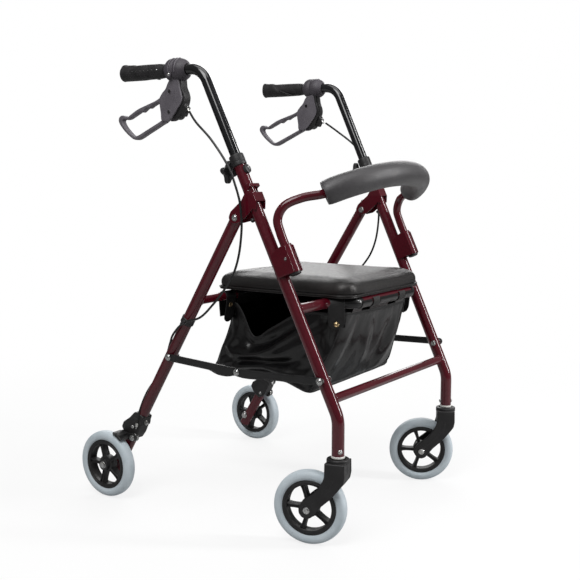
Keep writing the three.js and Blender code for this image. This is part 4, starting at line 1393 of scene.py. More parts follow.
# ------------------------------------------------------------------ wheels, about the x axis at the origin
TYRE_SIDE = [  # radius, x from the inner edge to the crown
    (57.0, -10.4), (58.4, -11.9), (61.0, -13.3), (64.5, -14.0), (68.5, -13.6), (72.0, -12.0),
    (74.4, -9.4), (75.7, -5.8), (76.2, -1.2)]
RIM = [  # radius, x
    (47.2, -10.4), (48.4, -11.5), (52.0, -11.9), (55.4, -11.5), (56.7, -10.6), (56.9, 0),
    (56.7, 10.6), (55.4, 11.5), (52.0, 11.9), (48.4, 11.5), (47.2, 10.4), (47.6, 6.0),
    (48.6, 3.0), (48.6, -3.0), (47.6, -6.0), (47.2, -10.4)]
RIM_LIP = [(50.4, 11.4), (51.2, 12.5), (53.6, 12.5), (54.4, 11.4), (52.4, 11.0), (50.4, 11.4)]
BEARING = [(4.2, -0.4), (8.3, -0.4), (8.3, 0.5), (7.7, 0.9), (6.9, 0.9), (6.6, 0.4), (5.6, 0.4),
           (5.3, 0.9), (4.2, 0.9), (4.2, -0.4)]
SPOKES = 5


def tyre():
    outline = TYRE_SIDE + [(76.0, 0.0)] + [(radius, -x) for radius, x in reversed(TYRE_SIDE)]
    curve = spline([vec(radius, x, 0) for radius, x in outline], 44)
    profile = [(p[0], p[1]) for p in curve]
    return lathe(profile + profile[:1], ORIGIN, X, 96)


def spoke(angle):
    """ribbed spoke of H section, wide at the hub"""
    start, end, count, groove = 12.0, 49.5, 9, 2.3
    rings = []
    for i in range(count):
        run = i / (count - 1)
        half_wide = 4.9 - 1.5 * sin(pi * min(1.0, run * 1.05)) ** 0.8
        if run > 0.85:
            half_wide += (run - 0.85) * 14
        half_deep = 8.6 + 0.8 * (1 - run)
        section = four_way([(half_wide, half_deep - 0.5), (half_wide - 0.5, half_deep),
                            (half_wide * 0.46, half_deep),
                            (half_wide * 0.40, half_deep - groove)])
        radius = start + (end - start) * run
        rings.append([(x, y, radius) for y, x in section])
    points, faces = facing_out(*skin(rings))
    turn = np.array([[1, 0, 0], [0, cos(angle), -sin(angle)], [0, sin(angle), cos(angle)]])
    return points @ turn.T, faces


def wheel(hub):
    """rim, hub of the given half length, lips and spokes"""
    hub_profile = [
        (4.3, -hub), (12.0, -hub), (13.2, -hub + 1), (13.8, -hub + 5), (14.6, -9.5), (18.2, -8.8),
        (19.4, -7.6), (19.8, 0), (19.4, 7.6), (18.2, 8.8), (14.6, 9.5), (13.8, hub - 5),
        (13.2, hub - 1), (12.0, hub), (8.6, hub), (8.0, hub - 1.4), (4.3, hub - 1.4), (4.3, -hub)]
    parts = [lathe(RIM, ORIGIN, X, 96), lathe(hub_profile, ORIGIN, X, 56)]
    parts += [lathe(RIM_LIP, ORIGIN, X * side, 96) for side in (1, -1)]
    parts += [spoke(-(i * 2 * pi / SPOKES + 0.3)) for i in range(SPOKES)]
    return join(*parts)


def rear_axle():
    def at(x):
        return vec(x, REAR_WHEEL[1], WHEEL_R)
    return join(rod(at(234), X, 4, 0, 72),
                nut(at(236.9), -X, 8.4, 7.2, 3.4, lift=1.0),
                spacer(at(264.6), X, 4, 7.0, 4.6),
                nut(at(304.2), X, 7.8, 6.6, 3.0, turn=0.25))


TYRE = tyre()
pair("tyre_rear", moved(TYRE, REAR_WHEEL), "tyre_grey", "rear_wheel_", "rear_tyre_")
pair("rim_rear", moved(wheel(17.0), REAR_WHEEL), "black_plastic", "rear_wheel_", "rear_wheel_")
pair("bearing_rear", lathe(BEARING, REAR_WHEEL + X * 16.0, X, 40), "zinc", "rear_wheel_")
pair("axle_rear", rear_axle(), "zinc", "rear", "rear_axle_")

# ------------------------------------------------------------------ casters, about the stem at x = y = 0
FORK_ARM = [
    (-20.5, 176), (-21, 150), (-18.5, 137), (-8, 123), (8, 104), (30, 84), (41, 70), (48, 61.5),
    (57, 58.4), (67, 61), (73.6, 69.5), (74.2, 80), (69, 91), (58, 101), (44, 112), (32, 126),
    (24, 140), (21, 150), (20.5, 176)]
FORK_ROUNDS = [1, 14, 10, 20, 30, 30, 14, 10, 12, 12, 12, 12, 12, 20, 30, 20, 12, 12, 1]
FORK_HEAD = [  # radius, z
    (0, 150), (19.4, 150), (20.8, 154), (21.0, 163), (20.6, 170.4), (21.0, 171.4), (22.4, 172.2),
    (22.9, 173.2), (22.9, 179.6), (22.3, 181.2), (21.0, 182.0), (16.6, 182.0), (16.2, 181.4),
    (15.6, 179.4), (0, 179.4)]
AXLE_BOSS = [(0, 26.6), (11.4, 26.6), (11.0, 27.8), (9.6, 28.3), (8.0, 28.3), (7.6, 27.3),
             (0, 27.3)]
CASTER_AXLE = vec(0, TRAIL, WHEEL_R)


def fork():
    """two arms, the crown, the round head, axle bosses and a rib down each arm"""
    arm = round2(FORK_ARM, FORK_ROUNDS)
    parts = [slab_x(arm, 20.4, 27.4, 2.4, 4), slab_x(arm, -27.4, -20.4, 2.4, 4)]
    # the crown's underside is cleared round the tyre
    clearance = []
    for i in range(15):
        y = -8 + 29 * i / 14
        clearance.append((y, WHEEL_R + sqrt(81.6 ** 2 - (y - TRAIL) ** 2)))
    crown = ([(-19.6, 176), (-20.2, 150), (-17.4, 138), (-11.5, 130)] + clearance
             + [(20.6, 154), (19.6, 176)])
    parts.append(slab_x(crown, -22, 22, 0.4, 1))
    parts.append(lathe(FORK_HEAD, ORIGIN, Z, 56))
    parts += [lathe(AXLE_BOSS, CASTER_AXLE, X * side, 40) for side in (1, -1)]
    face = 27.0
    rib_path = [vec(face, y, z) for y, z in ((3, 150), (5, 132), (36, 100), (50, 88))]
    points, faces = sweep(fillet(rib_path, [18, 30], 5), circle(1.5, 12, 3.2), ref=X)
    points[:, 0] = face + (points[:, 0] - face) * 0.55
    return join(*parts, (points, faces), mirrored((points, faces)))


def caster_axle():
    parts = [rod(CASTER_AXLE, X, 4, -28.5, 28.5)]
    for side in (1, -1):
        parts.append(nut(CASTER_AXLE + X * 27.6 * side, X * side, 7.0, 5.6, 2.7,
                         thick=0.9, lift=0.7, turn=0.2))
        parts.append(spacer(CASTER_AXLE + X * 17.6 * side, X * side, 4, 6.4, 2.7))
    return join(*parts)


# name, part, material, body, frame piece; each name takes the side's letter
CASTER_PARTS = [
    ("fork", fork(), "black_plastic", "caster", "caster_fork"),
    ("stem", lathe([(0, 178), (6, 178), (6, 232), (5, 234), (0, 234)], ORIGIN, Z, 32),
     "zinc", "caster", None),
    ("axle_caster", caster_axle(), "zinc", "caster", "caster_axle"),
    ("tyre_caster", moved(TYRE, CASTER_AXLE), "tyre_grey", "caster_wheel", "caster_tyre"),
    ("rim_caster", moved(wheel(17.5), CASTER_AXLE), "black_plastic", "caster_wheel",
     "caster_wheel"),
]
for tag, side in (("l", 1), ("r", -1)):
    swivel = radians(SWIVEL[tag])
    turn = np.array([[cos(swivel), -sin(swivel), 0], [sin(swivel), cos(swivel), 0], [0, 0, 1]])
    for name, part, finish, body, old in CASTER_PARTS:
        add(f"{name}_{tag}", moved(part, (side * STEM[0], STEM[1], 0), turn), finish,
            f"{body}_{tag}", old and f"{old}_{tag}")

pair("bush_stem", lathe([(6.6, 182.8), (13.2, 182.8), (14.0, 183.4), (14.0, 186.3),
                         (13.4, 187.0), (11.3, 187.0), (11.3, 232), (6.6, 232), (6.6, 182.8)],
                        vec(*STEM, 0), Z), "nylon", "root", "stem_bush_")
# rivets through the feet of the uprights
RIVET_PLACE, RIVET_DIR = vec(*STEM, 197), unit(vec(0.62, -0.78, 0))
RIVET_SEAT = FRAME_TUBE_R - 0.5
pair("leg_rivet", cap(RIVET_PLACE + RIVET_DIR * RIVET_SEAT, RIVET_DIR, 4.9, 4.2, 2.2),
     "zinc", "root")
pair("leg_rivet_nut", nut(RIVET_PLACE - RIVET_DIR * RIVET_SEAT, -RIVET_DIR, 4.9, 4.4, 2.6,
                          thick=0.9), "zinc", "root")

# ------------------------------------------------------------------ rear wheel brakes
BRAKE_MOUNT = [  # z on the leg, distance ahead of it
    (199, 13.5), (198, -5), (193, -15.5), (176, -21), (158, -31), (147, -30), (140, -16),
    (137, -2), (138, 9), (146, 16), (160, 18), (186, 15.5)]
MOUNT_BAND = [(189, 14.9), (184, -16.4), (176, -16.8), (178, 18.6)]


def brake_mount():
    """block round the leg, a raised band and the boss of the shoe's pivot"""
    block = round2([leg_yz(*p) for p in BRAKE_MOUNT], [4, 6, 6, 10, 5, 5, 8, 6, 5, 6, 8, 6])
    band = round2([leg_yz(*p) for p in MOUNT_BAND], 3)
    boss = lathe([(0, 0), (7.6, 0), (7.6, 6.0), (6.8, 7.0), (3.6, 7.2), (0, 7.2)],
                 vec(259.6, *SHOE_PIVOT), X, 36)
    return join(slab_x(block, 234.3, 265.8, 3.2, 5), slab_x(band, 233.6, 266.5, 2.4, 4), boss)


def by_wheel(radius, angle):
    """(y, z) at a radius and angle about the rear wheel's axle"""
    return arc(REAR_WHEEL[1:], radius, [angle])[0]


def brake_shoe():
    """shoe over the tyre, its arm and a cross rib"""
    shoe = ([by_wheel(78.7, 109 + 19.6 * i / 10) for i in range(11)]
            + [by_wheel(84.6, 128.6 - 19.6 * i / 10) for i in range(11)])
    arm = [(228.6, 141), (232.5, 134.4), (241.5, 134), by_wheel(80, 129), by_wheel(80, 111),
           by_wheel(85.5, 110), by_wheel(88.5, 121), (246, 151.5), (236, 153.5), (229.5, 148.5)]
    rib = [by_wheel(84, 113), by_wheel(84, 124), by_wheel(87.5, 122), by_wheel(87.5, 115)]
    return join(slab_x(shoe, 272.0, 298.0, 1.2, 3),
                slab_x(round2(arm, 3), 267.2, 273.0, 1.0, 3,
                       holes=[circle_at(SHOE_PIVOT, 4.0, 24)]),
                slab_x(round2(rib, 1.0), 272, 297, 1.0, 2))


def brake_spring():
    """four coils round the arm's pivot"""
    coil = []
    for i in range(4 * 20 + 1):
        a = 2 * pi * i / 20
        coil.append(vec(266.2 - 1.7 * i / 20, SHOE_PIVOT[0] + 9.0 * cos(a),
                        SHOE_PIVOT[1] + 9.0 * sin(a)))
    return sweep(coil, circle(0.7, 10), ref=X)


pair("brake_mount", brake_mount(), "black_plastic", "rear", "brake_bracket_")
pair("mount_nut", nut(vec(250, *leg_yz(184, 15.0)), -LEG_BEHIND, 6.2, 5.2, 4.6, lift=0.9),
     "zinc", "rear")
pair("mount_screw", screw(vec(250, *leg_yz(184, -16.2)), LEG_BEHIND, 4.2, 2.6), "zinc", "rear")
pair("bracket_screw_in", screw(vec(234.6, *leg_yz(150, 6.0)), -X, 3.6, 2.2), "zinc", "rear")
pair("bracket_screw_out", screw(vec(265.6, *leg_yz(165, -2.0)), X, 3.6, 1.4), "zinc", "rear")
pair("brake_arm_shoe", brake_shoe(), "black_steel", "brake_", "brake_shoe_")
pair("brake_arm_screw", nut(vec(273.0, *SHOE_PIVOT), X, 6.6, 5.4, 2.8, thick=0.9),
     "zinc", "rear")
pair("brake_spring", brake_spring(), "zinc", "rear")

# ------------------------------------------------------------------ cables and clips
CABLE_POINTS = [vec(*p) for p in (
    (263, 66.2, 874), (281, 31, 846), (290, -17, 808), (291, -62, 752), (290, -75.5, 721),
    (287, -85.5, 685), (285, -88, 654), (285, -88.5, 629), (285, -81, 576), (284, -66, 537),
    (282, -40, 502), (279, -8, 469), (276, 30, 438), (273, 78, 422), (269, 111, 394),
    (254, 134.5, 368), (245.5, 156.5, 327), (245.5, 179, 290), (253.5, 206, 249),
    (264, 219, 208), (269, 226, 170))]
CABLE_PATH = spline(CABLE_POINTS, 260)
CABLE_R = 2.4
CABLE_START = 3  # station where the upper length leaves its ferrule
CABLE_SPLIT = int(np.argmin(np.abs(CABLE_PATH[:, 2] - 700)))
CABLE_UPPER = sweep(CABLE_PATH[CABLE_START:CABLE_SPLIT + 1], circle(CABLE_R, 16))
CABLE_LOWER = sweep(CABLE_PATH[CABLE_SPLIT:], circle(CABLE_R, 16))


def cable_clip():
    """ring round the leg, ring round the cable and the saddle between"""
    centre, cable_place = leg(425), vec(273, 79, 421.5)
    between = unit(cable_place - centre)
    leg_ring = lathe([(12.5, -7.2), (14.4, -7.2), (15.0, -6.6), (15.0, -2.2), (14.5, -1.6),
                      (14.5, 1.6), (15.0, 2.2), (15.0, 6.6), (14.4, 7.2), (12.5, 7.2),
                      (12.5, -7.2)], centre, LEG_DIR)
    cable_ring = lathe([(2.2, -6), (4.2, -6), (4.6, -5.4), (4.6, 5.4), (4.2, 6), (2.2, 6),
                        (2.2, -6)], cable_place, unit(CABLE_POINTS[14] - CABLE_POINTS[12]), 24)
    saddle = sweep([centre + between * 12, cable_place - between * 3.0],
                   [(5.2, -2.2), (4.6, -3.0), (-4.6, -3.0), (-5.2, -2.2), (-5.2, 2.2),
                    (-4.6, 3.0), (4.6, 3.0), (5.2, 2.2)], ref=LEG_DIR)
    return join(leg_ring, cable_ring, saddle)


for tag, side in (("l", 1), ("r", -1)):
    upper, lower = CABLE_UPPER, CABLE_LOWER
    if side < 0:
        upper, lower = mirrored(upper), mirrored(lower)
    top, split, foot = (tuple(to_metres(p * vec(side, 1, 1))) for p in (
        CABLE_PATH[CABLE_START + 6], CABLE_PATH[CABLE_SPLIT], vec(273, 78, 422)))
    made = add(f"cable_upper_{tag}", upper, "cable", None, f"brake_cable_{tag}", weighted=False)
    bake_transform(made)
    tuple(top)
    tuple(split)
    made = add(f"cable_lower_{tag}", lower, "cable", weighted=False)
    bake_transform(made)
    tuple(split)
    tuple(foot)
pair("cable_end_ferrule", lathe([(0, -8), (3.3, -8), (3.6, -7.2), (3.6, 0.5), (2.6, 1.2),
                                 (1.0, 1.4), (1.0, 6), (0, 6)],
                                CABLE_POINTS[-1], CABLE_POINTS[-1] - CABLE_POINTS[-2], 24),
     "zinc", "rear")
pair("cable_clip", cable_clip(), "black_plastic", "rear")


# ------------------------------------------------------------------ cloth tools
def mesh_points(mesh):
    return np.array([v.co for v in mesh.vertices])


def set_points(mesh, points):
    mesh.vertices.foreach_set("co", points.astype(np.float32).ravel())
    mesh.update()


def simulate(made, pins, cap_mm, last_frame, gravity, stiffness, **settings):
    """runs cloth and keeps every point within cap_mm of where it began"""
    scene = bpy.context.scene
    mesh = made.data
    rest = mesh_points(mesh)
    made.vertex_groups.new(name="pin").add(pins, 1.0, "REPLACE")
    cloth = made.modifiers.new("cloth", "CLOTH")
    for key, value in settings.items():
        setattr(cloth.settings, key, value)
    cloth.settings.tension_stiffness = cloth.settings.compression_stiffness = stiffness
    cloth.settings.effector_weights.gravity = gravity
    cloth.settings.vertex_group_mass = "pin"
    cloth.collision_settings.use_collision = False
    cloth.point_cache.frame_start, cloth.point_cache.frame_end = 1, last_frame
    for frame in range(1, last_frame + 1):
        scene.frame_set(frame)
    evaluated = made.evaluated_get(bpy.context.evaluated_depsgraph_get())
    settled = mesh_points(evaluated.to_mesh())
    evaluated.to_mesh_clear()
    made.modifiers.clear()
    shift = settled - rest
    size = norm(shift, axis=1)
    limit = cap_mm / 1000
    share = np.where(size > 1e-9, limit * np.tanh(size / limit) / np.maximum(size, 1e-9), 1.0)
    set_points(mesh, rest + shift * share[:, None])
    scene.frame_set(1)


def relax(made, times, keep=None):
    """smooths vertices along the surface; keep(points in mm) marks the ones that stay"""
    mesh = made.data
    count = len(mesh.vertices)
    points = mesh_points(mesh)
    edges = np.array([tuple(edge.vertices) for edge in mesh.edges])
    hold = keep(to_mm(points)) if keep else np.zeros(count, bool)
    for _ in range(times):
        total, neighbours = np.zeros_like(points), np.zeros(count)
        for here, there in ((0, 1), (1, 0)):
            np.add.at(total, edges[:, here], points[edges[:, there]])
            np.add.at(neighbours, edges[:, here], 1)
        smoothed = points * 0.4 + total / np.maximum(neighbours, 1)[:, None] * 0.6
        smoothed[hold] = points[hold]
        points = smoothed
    set_points(mesh, points)


# ------------------------------------------------------------------ seat
SEAT_PROFILE = [  # inset from the seat's outline, z: seam, edge and crown
    (4.0, 489.4), (1.8, 489.9), (0.8, 491.2), (0.3, 493.6), (-0.1, 497), (-0.3, 501),
    (-0.2, 505), (0.6, 509), (2.2, 512.6), (4.8, 515.9), (8.4, 518.7), (13.2, 520.8),
    (19, 522.0), (27, 522.8), (38, 523.3), (54, 523.6), (74, 523.8), (98, 523.9), (124, 524.0)]
CLIP_XS = (-58, 58)


def seat_outline(inset, front_round, rear_round):
    """rounded rectangle in (x, y), counter-clockwise"""
    x, y0, y1 = SEAT_HALF - inset, SEAT_FRONT + inset, SEAT_REAR - inset
    out = []

    def corner(cx, cy, radius, start):
        for i in range(11):
            a = start + pi / 2 * i / 10
            out.append((cx + radius * cos(a), cy + radius * sin(a)))

    def line(start, end):
        for i in range(1, 26):
            out.append((start[0] + (end[0] - start[0]) * i / 26,
                        start[1] + (end[1] - start[1]) * i / 26))
    front_x, front_y = x - front_round, y0 + front_round
    rear_x, rear_y = x - rear_round, y1 - rear_round
    corner(front_x, front_y, front_round, -pi / 2)
    line((x, front_y), (x, rear_y))
    corner(rear_x, rear_y, rear_round, 0)
    line((rear_x, y1), (-rear_x, y1))
    corner(-rear_x, rear_y, rear_round, pi / 2)
    line((-x, rear_y), (-x, front_y))
    corner(-front_x, front_y, front_round, pi)
    line((-front_x, y0), (front_x, y0))
    return np.array(out)


def cushion_part():
    """crowned pad: rings from the seam up over the edge to the middle"""
    points, faces = [], []
    for inset, z in SEAT_PROFILE:
        for x, y in seat_outline(inset, max(34 - inset * 0.5, 3), max(20 - inset * 0.3, 2)):
            lump = 0.0
            if z > 510:
                lump = (0.35 * noise.noise(Vector((x * 0.02, y * 0.02, 3)))
                        * min(1, (z - 510) / 8))
            points.append((x, y, z + lump))
    sides = len(points) // len(SEAT_PROFILE)
    rows = index_rings(len(SEAT_PROFILE), sides)
    for low, high in zip(rows[:-1], rows[1:]):
        faces += bridge(low, high)
    centre = len(points)
    points.append((0, np.mean([points[i][1] for i in rows[-1]]), 524.0))
    faces += [(rows[-1][j], rows[-1][(j + 1) % sides], centre) for j in range(sides)]
    under = len(points)
    points += [(x, y, 489.3) for x, y in seat_outline(12, 28, 14)]
    for j in range(sides):
        k = (j + 1) % sides
        faces.append((rows[0][k], rows[0][j], under + j, under + k))
    centre = len(points)
    points.append((0, (SEAT_FRONT + SEAT_REAR) / 2, 489.3))
    faces += [(under + (j + 1) % sides, under + j, centre) for j in range(sides)]
    return facing_out(np.array(points, float), faces)


def puff(made):
    """swells the cushion by inner pressure, held at its seam"""
    remesh = made.modifiers.new("remesh", "REMESH")
    remesh.mode, remesh.voxel_size = "VOXEL", 0.0055
    graph = bpy.context.evaluated_depsgraph_get()
    mesh = bpy.data.meshes.new_from_object(made.evaluated_get(graph))
    made.modifiers.clear()
    made.data = mesh
    pins = [i for i, p in enumerate(to_mm(mesh_points(mesh))) if p[2] < 492.5]
    simulate(made, pins, cap_mm=3.2, last_frame=20, gravity=0.0, stiffness=30,
             use_pressure=True, uniform_pressure_force=4.0, shear_stiffness=20,
             bending_stiffness=1.2, quality=5)
    relax(made, 4, lambda points: points[:, 2] < 491)


def pucker_corners(point):
    """small folds fanning round the two front corners of the seat's edge, in place"""
    for side in (1, -1):
        dx = point[0] - side * (SEAT_HALF - 30)
        dy = point[1] - (SEAT_FRONT + 30)
        if dx * side > 0 and dy < 0 and 495 < point[2] < 519:
            angle, radius = atan2(abs(dx), abs(dy)), hypot(dx, dy)
            weight = sin(pi * (point[2] - 495) / 24) * min(1, radius / 24)
            depth = 0.75 * weight * sin(angle * 22) * sin(2 * angle) ** 2
            point[0] += depth * dx / max(radius, 1)
            point[1] += depth * dy / max(radius, 1)


def seat_cushion():
    made = add("seat_cushion", cushion_part(), "seat_vinyl", None, "seat_pad",
               sharp_angle=180, weighted=False)
    puff(made)
    mesh = made.data
    points = to_mm(mesh_points(mesh))
    for point in points:
        pucker_corners(point)
        if point[2] > 494.5:
            place = Vector((point[0] * 0.035, point[1] * 0.035, point[2] * 0.05))
            point[2] += 0.25 * noise.noise(place)
    points[:, 2] = np.minimum(points[:, 2], 527.0)
    set_points(mesh, to_metres(points))
    mesh.materials.clear()
    mesh.materials.append(MATERIALS["seat_vinyl"])
    mesh.shade_smooth()
    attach(made, "seat")
    subdivide(made)


def subdivide(made):
    smooth = made.modifiers.new("sub", "SUBSURF")
    smooth.levels = smooth.render_levels = 1


def seat_cord(outline, z, radius):
    return loop_sweep(np.array([vec(x, y, z) for x, y in outline]), circle(radius, 14))


def seat_base():
    """board and two open clips round the front tube"""
    parts = [facing_out(*slab_z(seat_outline(16, 24, 10), 485.2, 490, 0.3, 1))]
    hinge_y, hinge_z = SEAT_HINGE
    clip = (arc(SEAT_HINGE, 14.4, [-215 + 250 * i / 24 for i in range(25)])
            + arc(SEAT_HINGE, 11.6, [35 - 250 * i / 24 for i in range(25)]))
    foot = [(-6, 484.6), (-6, 488), (34, 488), (34, 484.4), (13, 483.4), (12.4, 480), (9.6, 480)]
    foot = round2([(hinge_y + y, z) for y, z in foot], 0.8)
    for x in CLIP_XS:
        parts.append(slab_x(clip, x - 13.5, x + 13.5, 0.6, 2))
        parts.append(slab_x(foot, x - 13.5, x + 13.5, 0.8, 2))
    return join(*parts)


def seat_staples():
    outline = seat_outline(12, 28, 14)
    staples = []
    for i in range(0, len(outline), 3):
        along = unit(outline[(i + 1) % len(outline)] - outline[i - 1]) * 4
        ends = [vec(*(outline[i] - along), 485.3), vec(*(outline[i] + along), 485.3)]
        staples.append(tube(ends, 0.5, 8, 0.15))
    return join(*staples)


seat_cushion()
add("seat_piping", seat_cord(seat_outline(-0.1, 34, 20), 490.9, 1.7), "seat_vinyl", "seat",
    weighted=False)
add("seat_underlap", facing_out(*slab_z(seat_outline(0.8, 33, 19), 487.1, 490.6, 0.9, 2)),
    "seat_vinyl", "seat")
add("seat_lip", seat_cord(seat_outline(1.9, 32, 18), 487.5, 1.9), "seat_vinyl", "seat",
    weighted=False)
add("seat_board", seat_base(), "board", "seat", "seat_base")
add("seat_clip_screws", join(*[screw(vec(x, SEAT_HINGE[0] + 26, 484.6), -Z, 3.0, 1.8)
                               for x in CLIP_XS]), "zinc", "seat")
add("seat_staples", seat_staples(), "zinc", "seat")
for tag, side in (("l", 1), ("r", -1)):
    add(f"seat_rest_{tag}", lathe([(0, -6.2), (5.8, -6.0), (7.2, -4.6), (7.5, 0), (0, 0)],
                                  vec(96 * side, 53, 487.2), Z, 32), "grip_rubber", "seat")

# ------------------------------------------------------------------ storage bag
WALL_HALF, WALL_ROUND = 131.0, 15.0
WALL_COLUMNS, WALL_ROWS, FLOOR_RINGS = 256, 48, 16
# rim height of the side walls, -X and +X: (y, z)
RIM_RIGHT = [
    (-246, 456), (-232, 455), (-190, 454), (-150, 453), (-128, 450), (-107, 441), (-81, 425),
    (-41, 402), (-18, 384), (-8, 379), (0, 382), (8, 396), (17, 420), (25, 441), (32, 452),
    (40, 455), (54, 456)]
RIM_LEFT = [(-246, 456), (-180, 457), (-120, 456), (-60, 454), (-20, 453), (10, 454), (32, 456),
            (54, 456)]
# long folds of the side walls: height, half width, line of (y, z)
SIDE_FOLDS = [
    (9.5, 9.0, [(38, 440), (37, 404), (46, 376), (64, 353), (59, 341), (24, 338), (-22, 348),
                (-60, 365), (-107, 394), (-132, 410), (-175, 438)]),
    (-7.0, 9.0, [(22, 398), (14, 368), (-2, 359), (-30, 367), (-70, 387), (-112, 414)]),
    (9.0, 13.0, [(-18, 337), (-40, 342), (-81, 355), (-107, 368), (-138, 383), (-190, 415)]),
    (-8.0, 8.0, [(74, 331), (30, 326), (-8, 327), (-44, 331), (-90, 334), (-130, 342)]),
    (6.0, 8.0, [(90, 306), (72, 319), (48, 328), (34, 328)]),
    (8.5, 9.0, [(62, 304), (43, 307), (14, 316), (-33, 322), (-68, 314), (-108, 309),
                (-140, 308)]),
    (-5.0, 7.0, [(40, 296), (0, 304), (-40, 304), (-80, 298)]),
    (5.5, 9.0, [(62, 446), (60, 410), (84, 358), (98, 325)]),
    (-9.0, 12.0, [(-187, 452), (-190, 420), (-194, 384), (-200, 350)]),
    (5.0, 10.0, [(-150, 404), (-158, 360), (-150, 320), (-140, 290)]),
]
# soft upright folds of the front panel: height, half width, line of (x, z)
PANEL_FOLDS = [
    (4.0, 13.0, [(-29, 450), (-20, 411), (-5, 365), (4, 320)]),
    (-3.0, 16.0, [(8, 450), (18, 400), (30, 340)]),
    (6.0, 17.0, [(118, 446), (108, 392), (88, 338), (66, 306)]),
    (-3.5, 18.0, [(84, 430), (66, 370), (46, 320)]),
    (3.0, 14.0, [(-100, 430), (-92, 370), (-104, 300)]),
    (-3.0, 12.0, [(-72, 452), (-66, 400), (-72, 340)]),
]


def fold_field(folds, p, q):
    """sum of the folds' heights at (p, q)"""
    total = 0.0
    for height, width, line in folds:
        nearest, place = 1e9, 0.0
        for i in range(len(line) - 1):
            start_p, start_q = line[i]
            dp, dq = line[i + 1][0] - start_p, line[i + 1][1] - start_q
            part = ((p - start_p) * dp + (q - start_q) * dq) / (dp * dp + dq * dq)
            part = max(0.0, min(1.0, part))
            distance = hypot(p - start_p - part * dp, q - start_q - part * dq)
            if distance < nearest:
                nearest, place = distance, (i + part) / (len(line) - 1)
        if nearest < 3 * width:
            ends = min(1.0, 0.25 + 3.2 * min(place, 1 - place))
            total += height * ends * exp(-(nearest / width) ** 2)
    return total


def wall_runs(depth):
    """lengths round the wall: straights and corners in turn from the middle of the front"""
    half_front, turn = 2 * WALL_HALF / 2 - WALL_ROUND, pi / 2 * WALL_ROUND
    side, rear = depth - 2 * WALL_ROUND, 2 * WALL_HALF - 2 * WALL_ROUND
    return [half_front, turn, side, turn, rear, turn, side, turn, half_front]


def wall_plan(u, front, rear):
    """x, y and the outward normal at fraction u round the wall"""
    runs = wall_runs(rear - front)
    left = (u % 1.0) * sum(runs)
    for piece, run in enumerate(runs):
        if left <= run:
            break
        left -= run
    half, inner = WALL_HALF, WALL_HALF - WALL_ROUND
    low, high = front + WALL_ROUND, rear - WALL_ROUND
    if piece % 2:
        a = left / WALL_ROUND
        corner = piece // 2
        nx, ny = ((sin(a), -cos(a)), (cos(a), sin(a)), (-sin(a), cos(a)),
                  (-cos(a), -sin(a)))[corner]
        cx, cy = ((inner, low), (inner, high), (-inner, high), (-inner, low))[corner]
        return cx + WALL_ROUND * nx, cy + WALL_ROUND * ny, nx, ny
    return ((left, front, 0, -1), (half, low + left, 1, 0), (inner - left, rear, 0, 1),
            (-half, high - left, -1, 0), (-inner + left, front, 0, -1))[piece // 2]


def bag_point(u, v):
    """u walks round the wall from the front's middle towards +X; v is 0 at the rim, 1 at the floor"""
    front = -246 + 69 * v
    rear = 54 + float(np.interp(v, [0, 0.32, 0.69, 1], [0, 9, 43, 60]))
    x, y, nx, ny = wall_plan(u, front, rear)
    on_side, on_front, on_rear = nx * nx, max(0.0, -ny) ** 2, max(0.0, ny) ** 2
    across = x / WALL_HALF
    depth = (y - front) / max(rear - front, 1)
    # the front of the floor is skewed: further back at -X, further forward at +X
    y += -28 * across * v * (1 - depth)
    rim_y = -246 + depth * 300
    rim_ys, rim_zs = zip(*(RIM_RIGHT if x < 0 else RIM_LEFT))
    side_top = sum(float(np.interp(rim_y + shift, rim_ys, rim_zs))
                   for shift in (-6, -3, 0, 3, 6)) / 5
    top = side_top * on_side + (451 + 5 * across ** 2) * on_front + 456 * on_rear
    floor_right = float(np.interp(y, [-150, -94, 0, 114], [268, 287, 295, 301]))
    floor_left = float(np.interp(y, [-206, -94, 0, 114], [299, 292, 293, 300]))
    share = (across + 1) / 2
    bottom = floor_right * (1 - share) + floor_left * share
    z = top + (bottom - top) * v
    # folds are tamed next to the rim and the floor
    free = (min(1.0, max(0.0, (top - z) / 12.0))
            * min(1.0, 0.25 + max(0.0, (z - bottom) / 16.0)))
    if x < 0:
        fold = 1.25 * fold_field(SIDE_FOLDS, y, z)
    else:
        fold = 0.8 * fold_field(SIDE_FOLDS, y + 14, z - 10 + 0.04 * (y + 60))
    belly = 7.0 * sin(pi * min(1, v * 0.95)) * sin(pi * min(1, max(0, depth)))
    side_out = (fold * free + belly) * on_side
    bulge = sin(pi * v) * (1 - across ** 2)
    front_out = fold_field(PANEL_FOLDS, x, z) * free + 3.0 * bulge
    ripple = 4.0 * sin(x * 0.043 + 0.03 * z) + 2.2 * sin(x * 0.1 + 0.05 * z)
    rear_out = (ripple * sin(pi * min(1, v * 1.1)) + 5 * bulge) * free
    drop = max(0.0, top - z)
    cornering = max(0.0, abs(x) - 60) / 70
    fan = (1.1 * cornering ** 2 * sin(atan2(drop + 8, 140 - abs(x) + 8) * 11)
           * exp(-drop / 70))
    x += nx * side_out + 0.8 * noise.noise(Vector((x, y, z)) * 0.03)
    y += (ny * ((front_out + fan) * on_front + rear_out * on_rear)
          + 0.8 * noise.noise(Vector((y, z, x)) * 0.03))
    # corners of the rim are drawn outwards: pull, y, its spread, spread downwards
    if abs(x) > 90:
        for pull, pull_y, spread, down in ((6.5, -234, 26, 36), (7.5, 50, 24, 40)):
            x += np.copysign(pull, x) * (exp(-((rim_y - pull_y) / spread) ** 2)
                                         * exp(-(drop / down) ** 2))
    return vec(x, y, z)


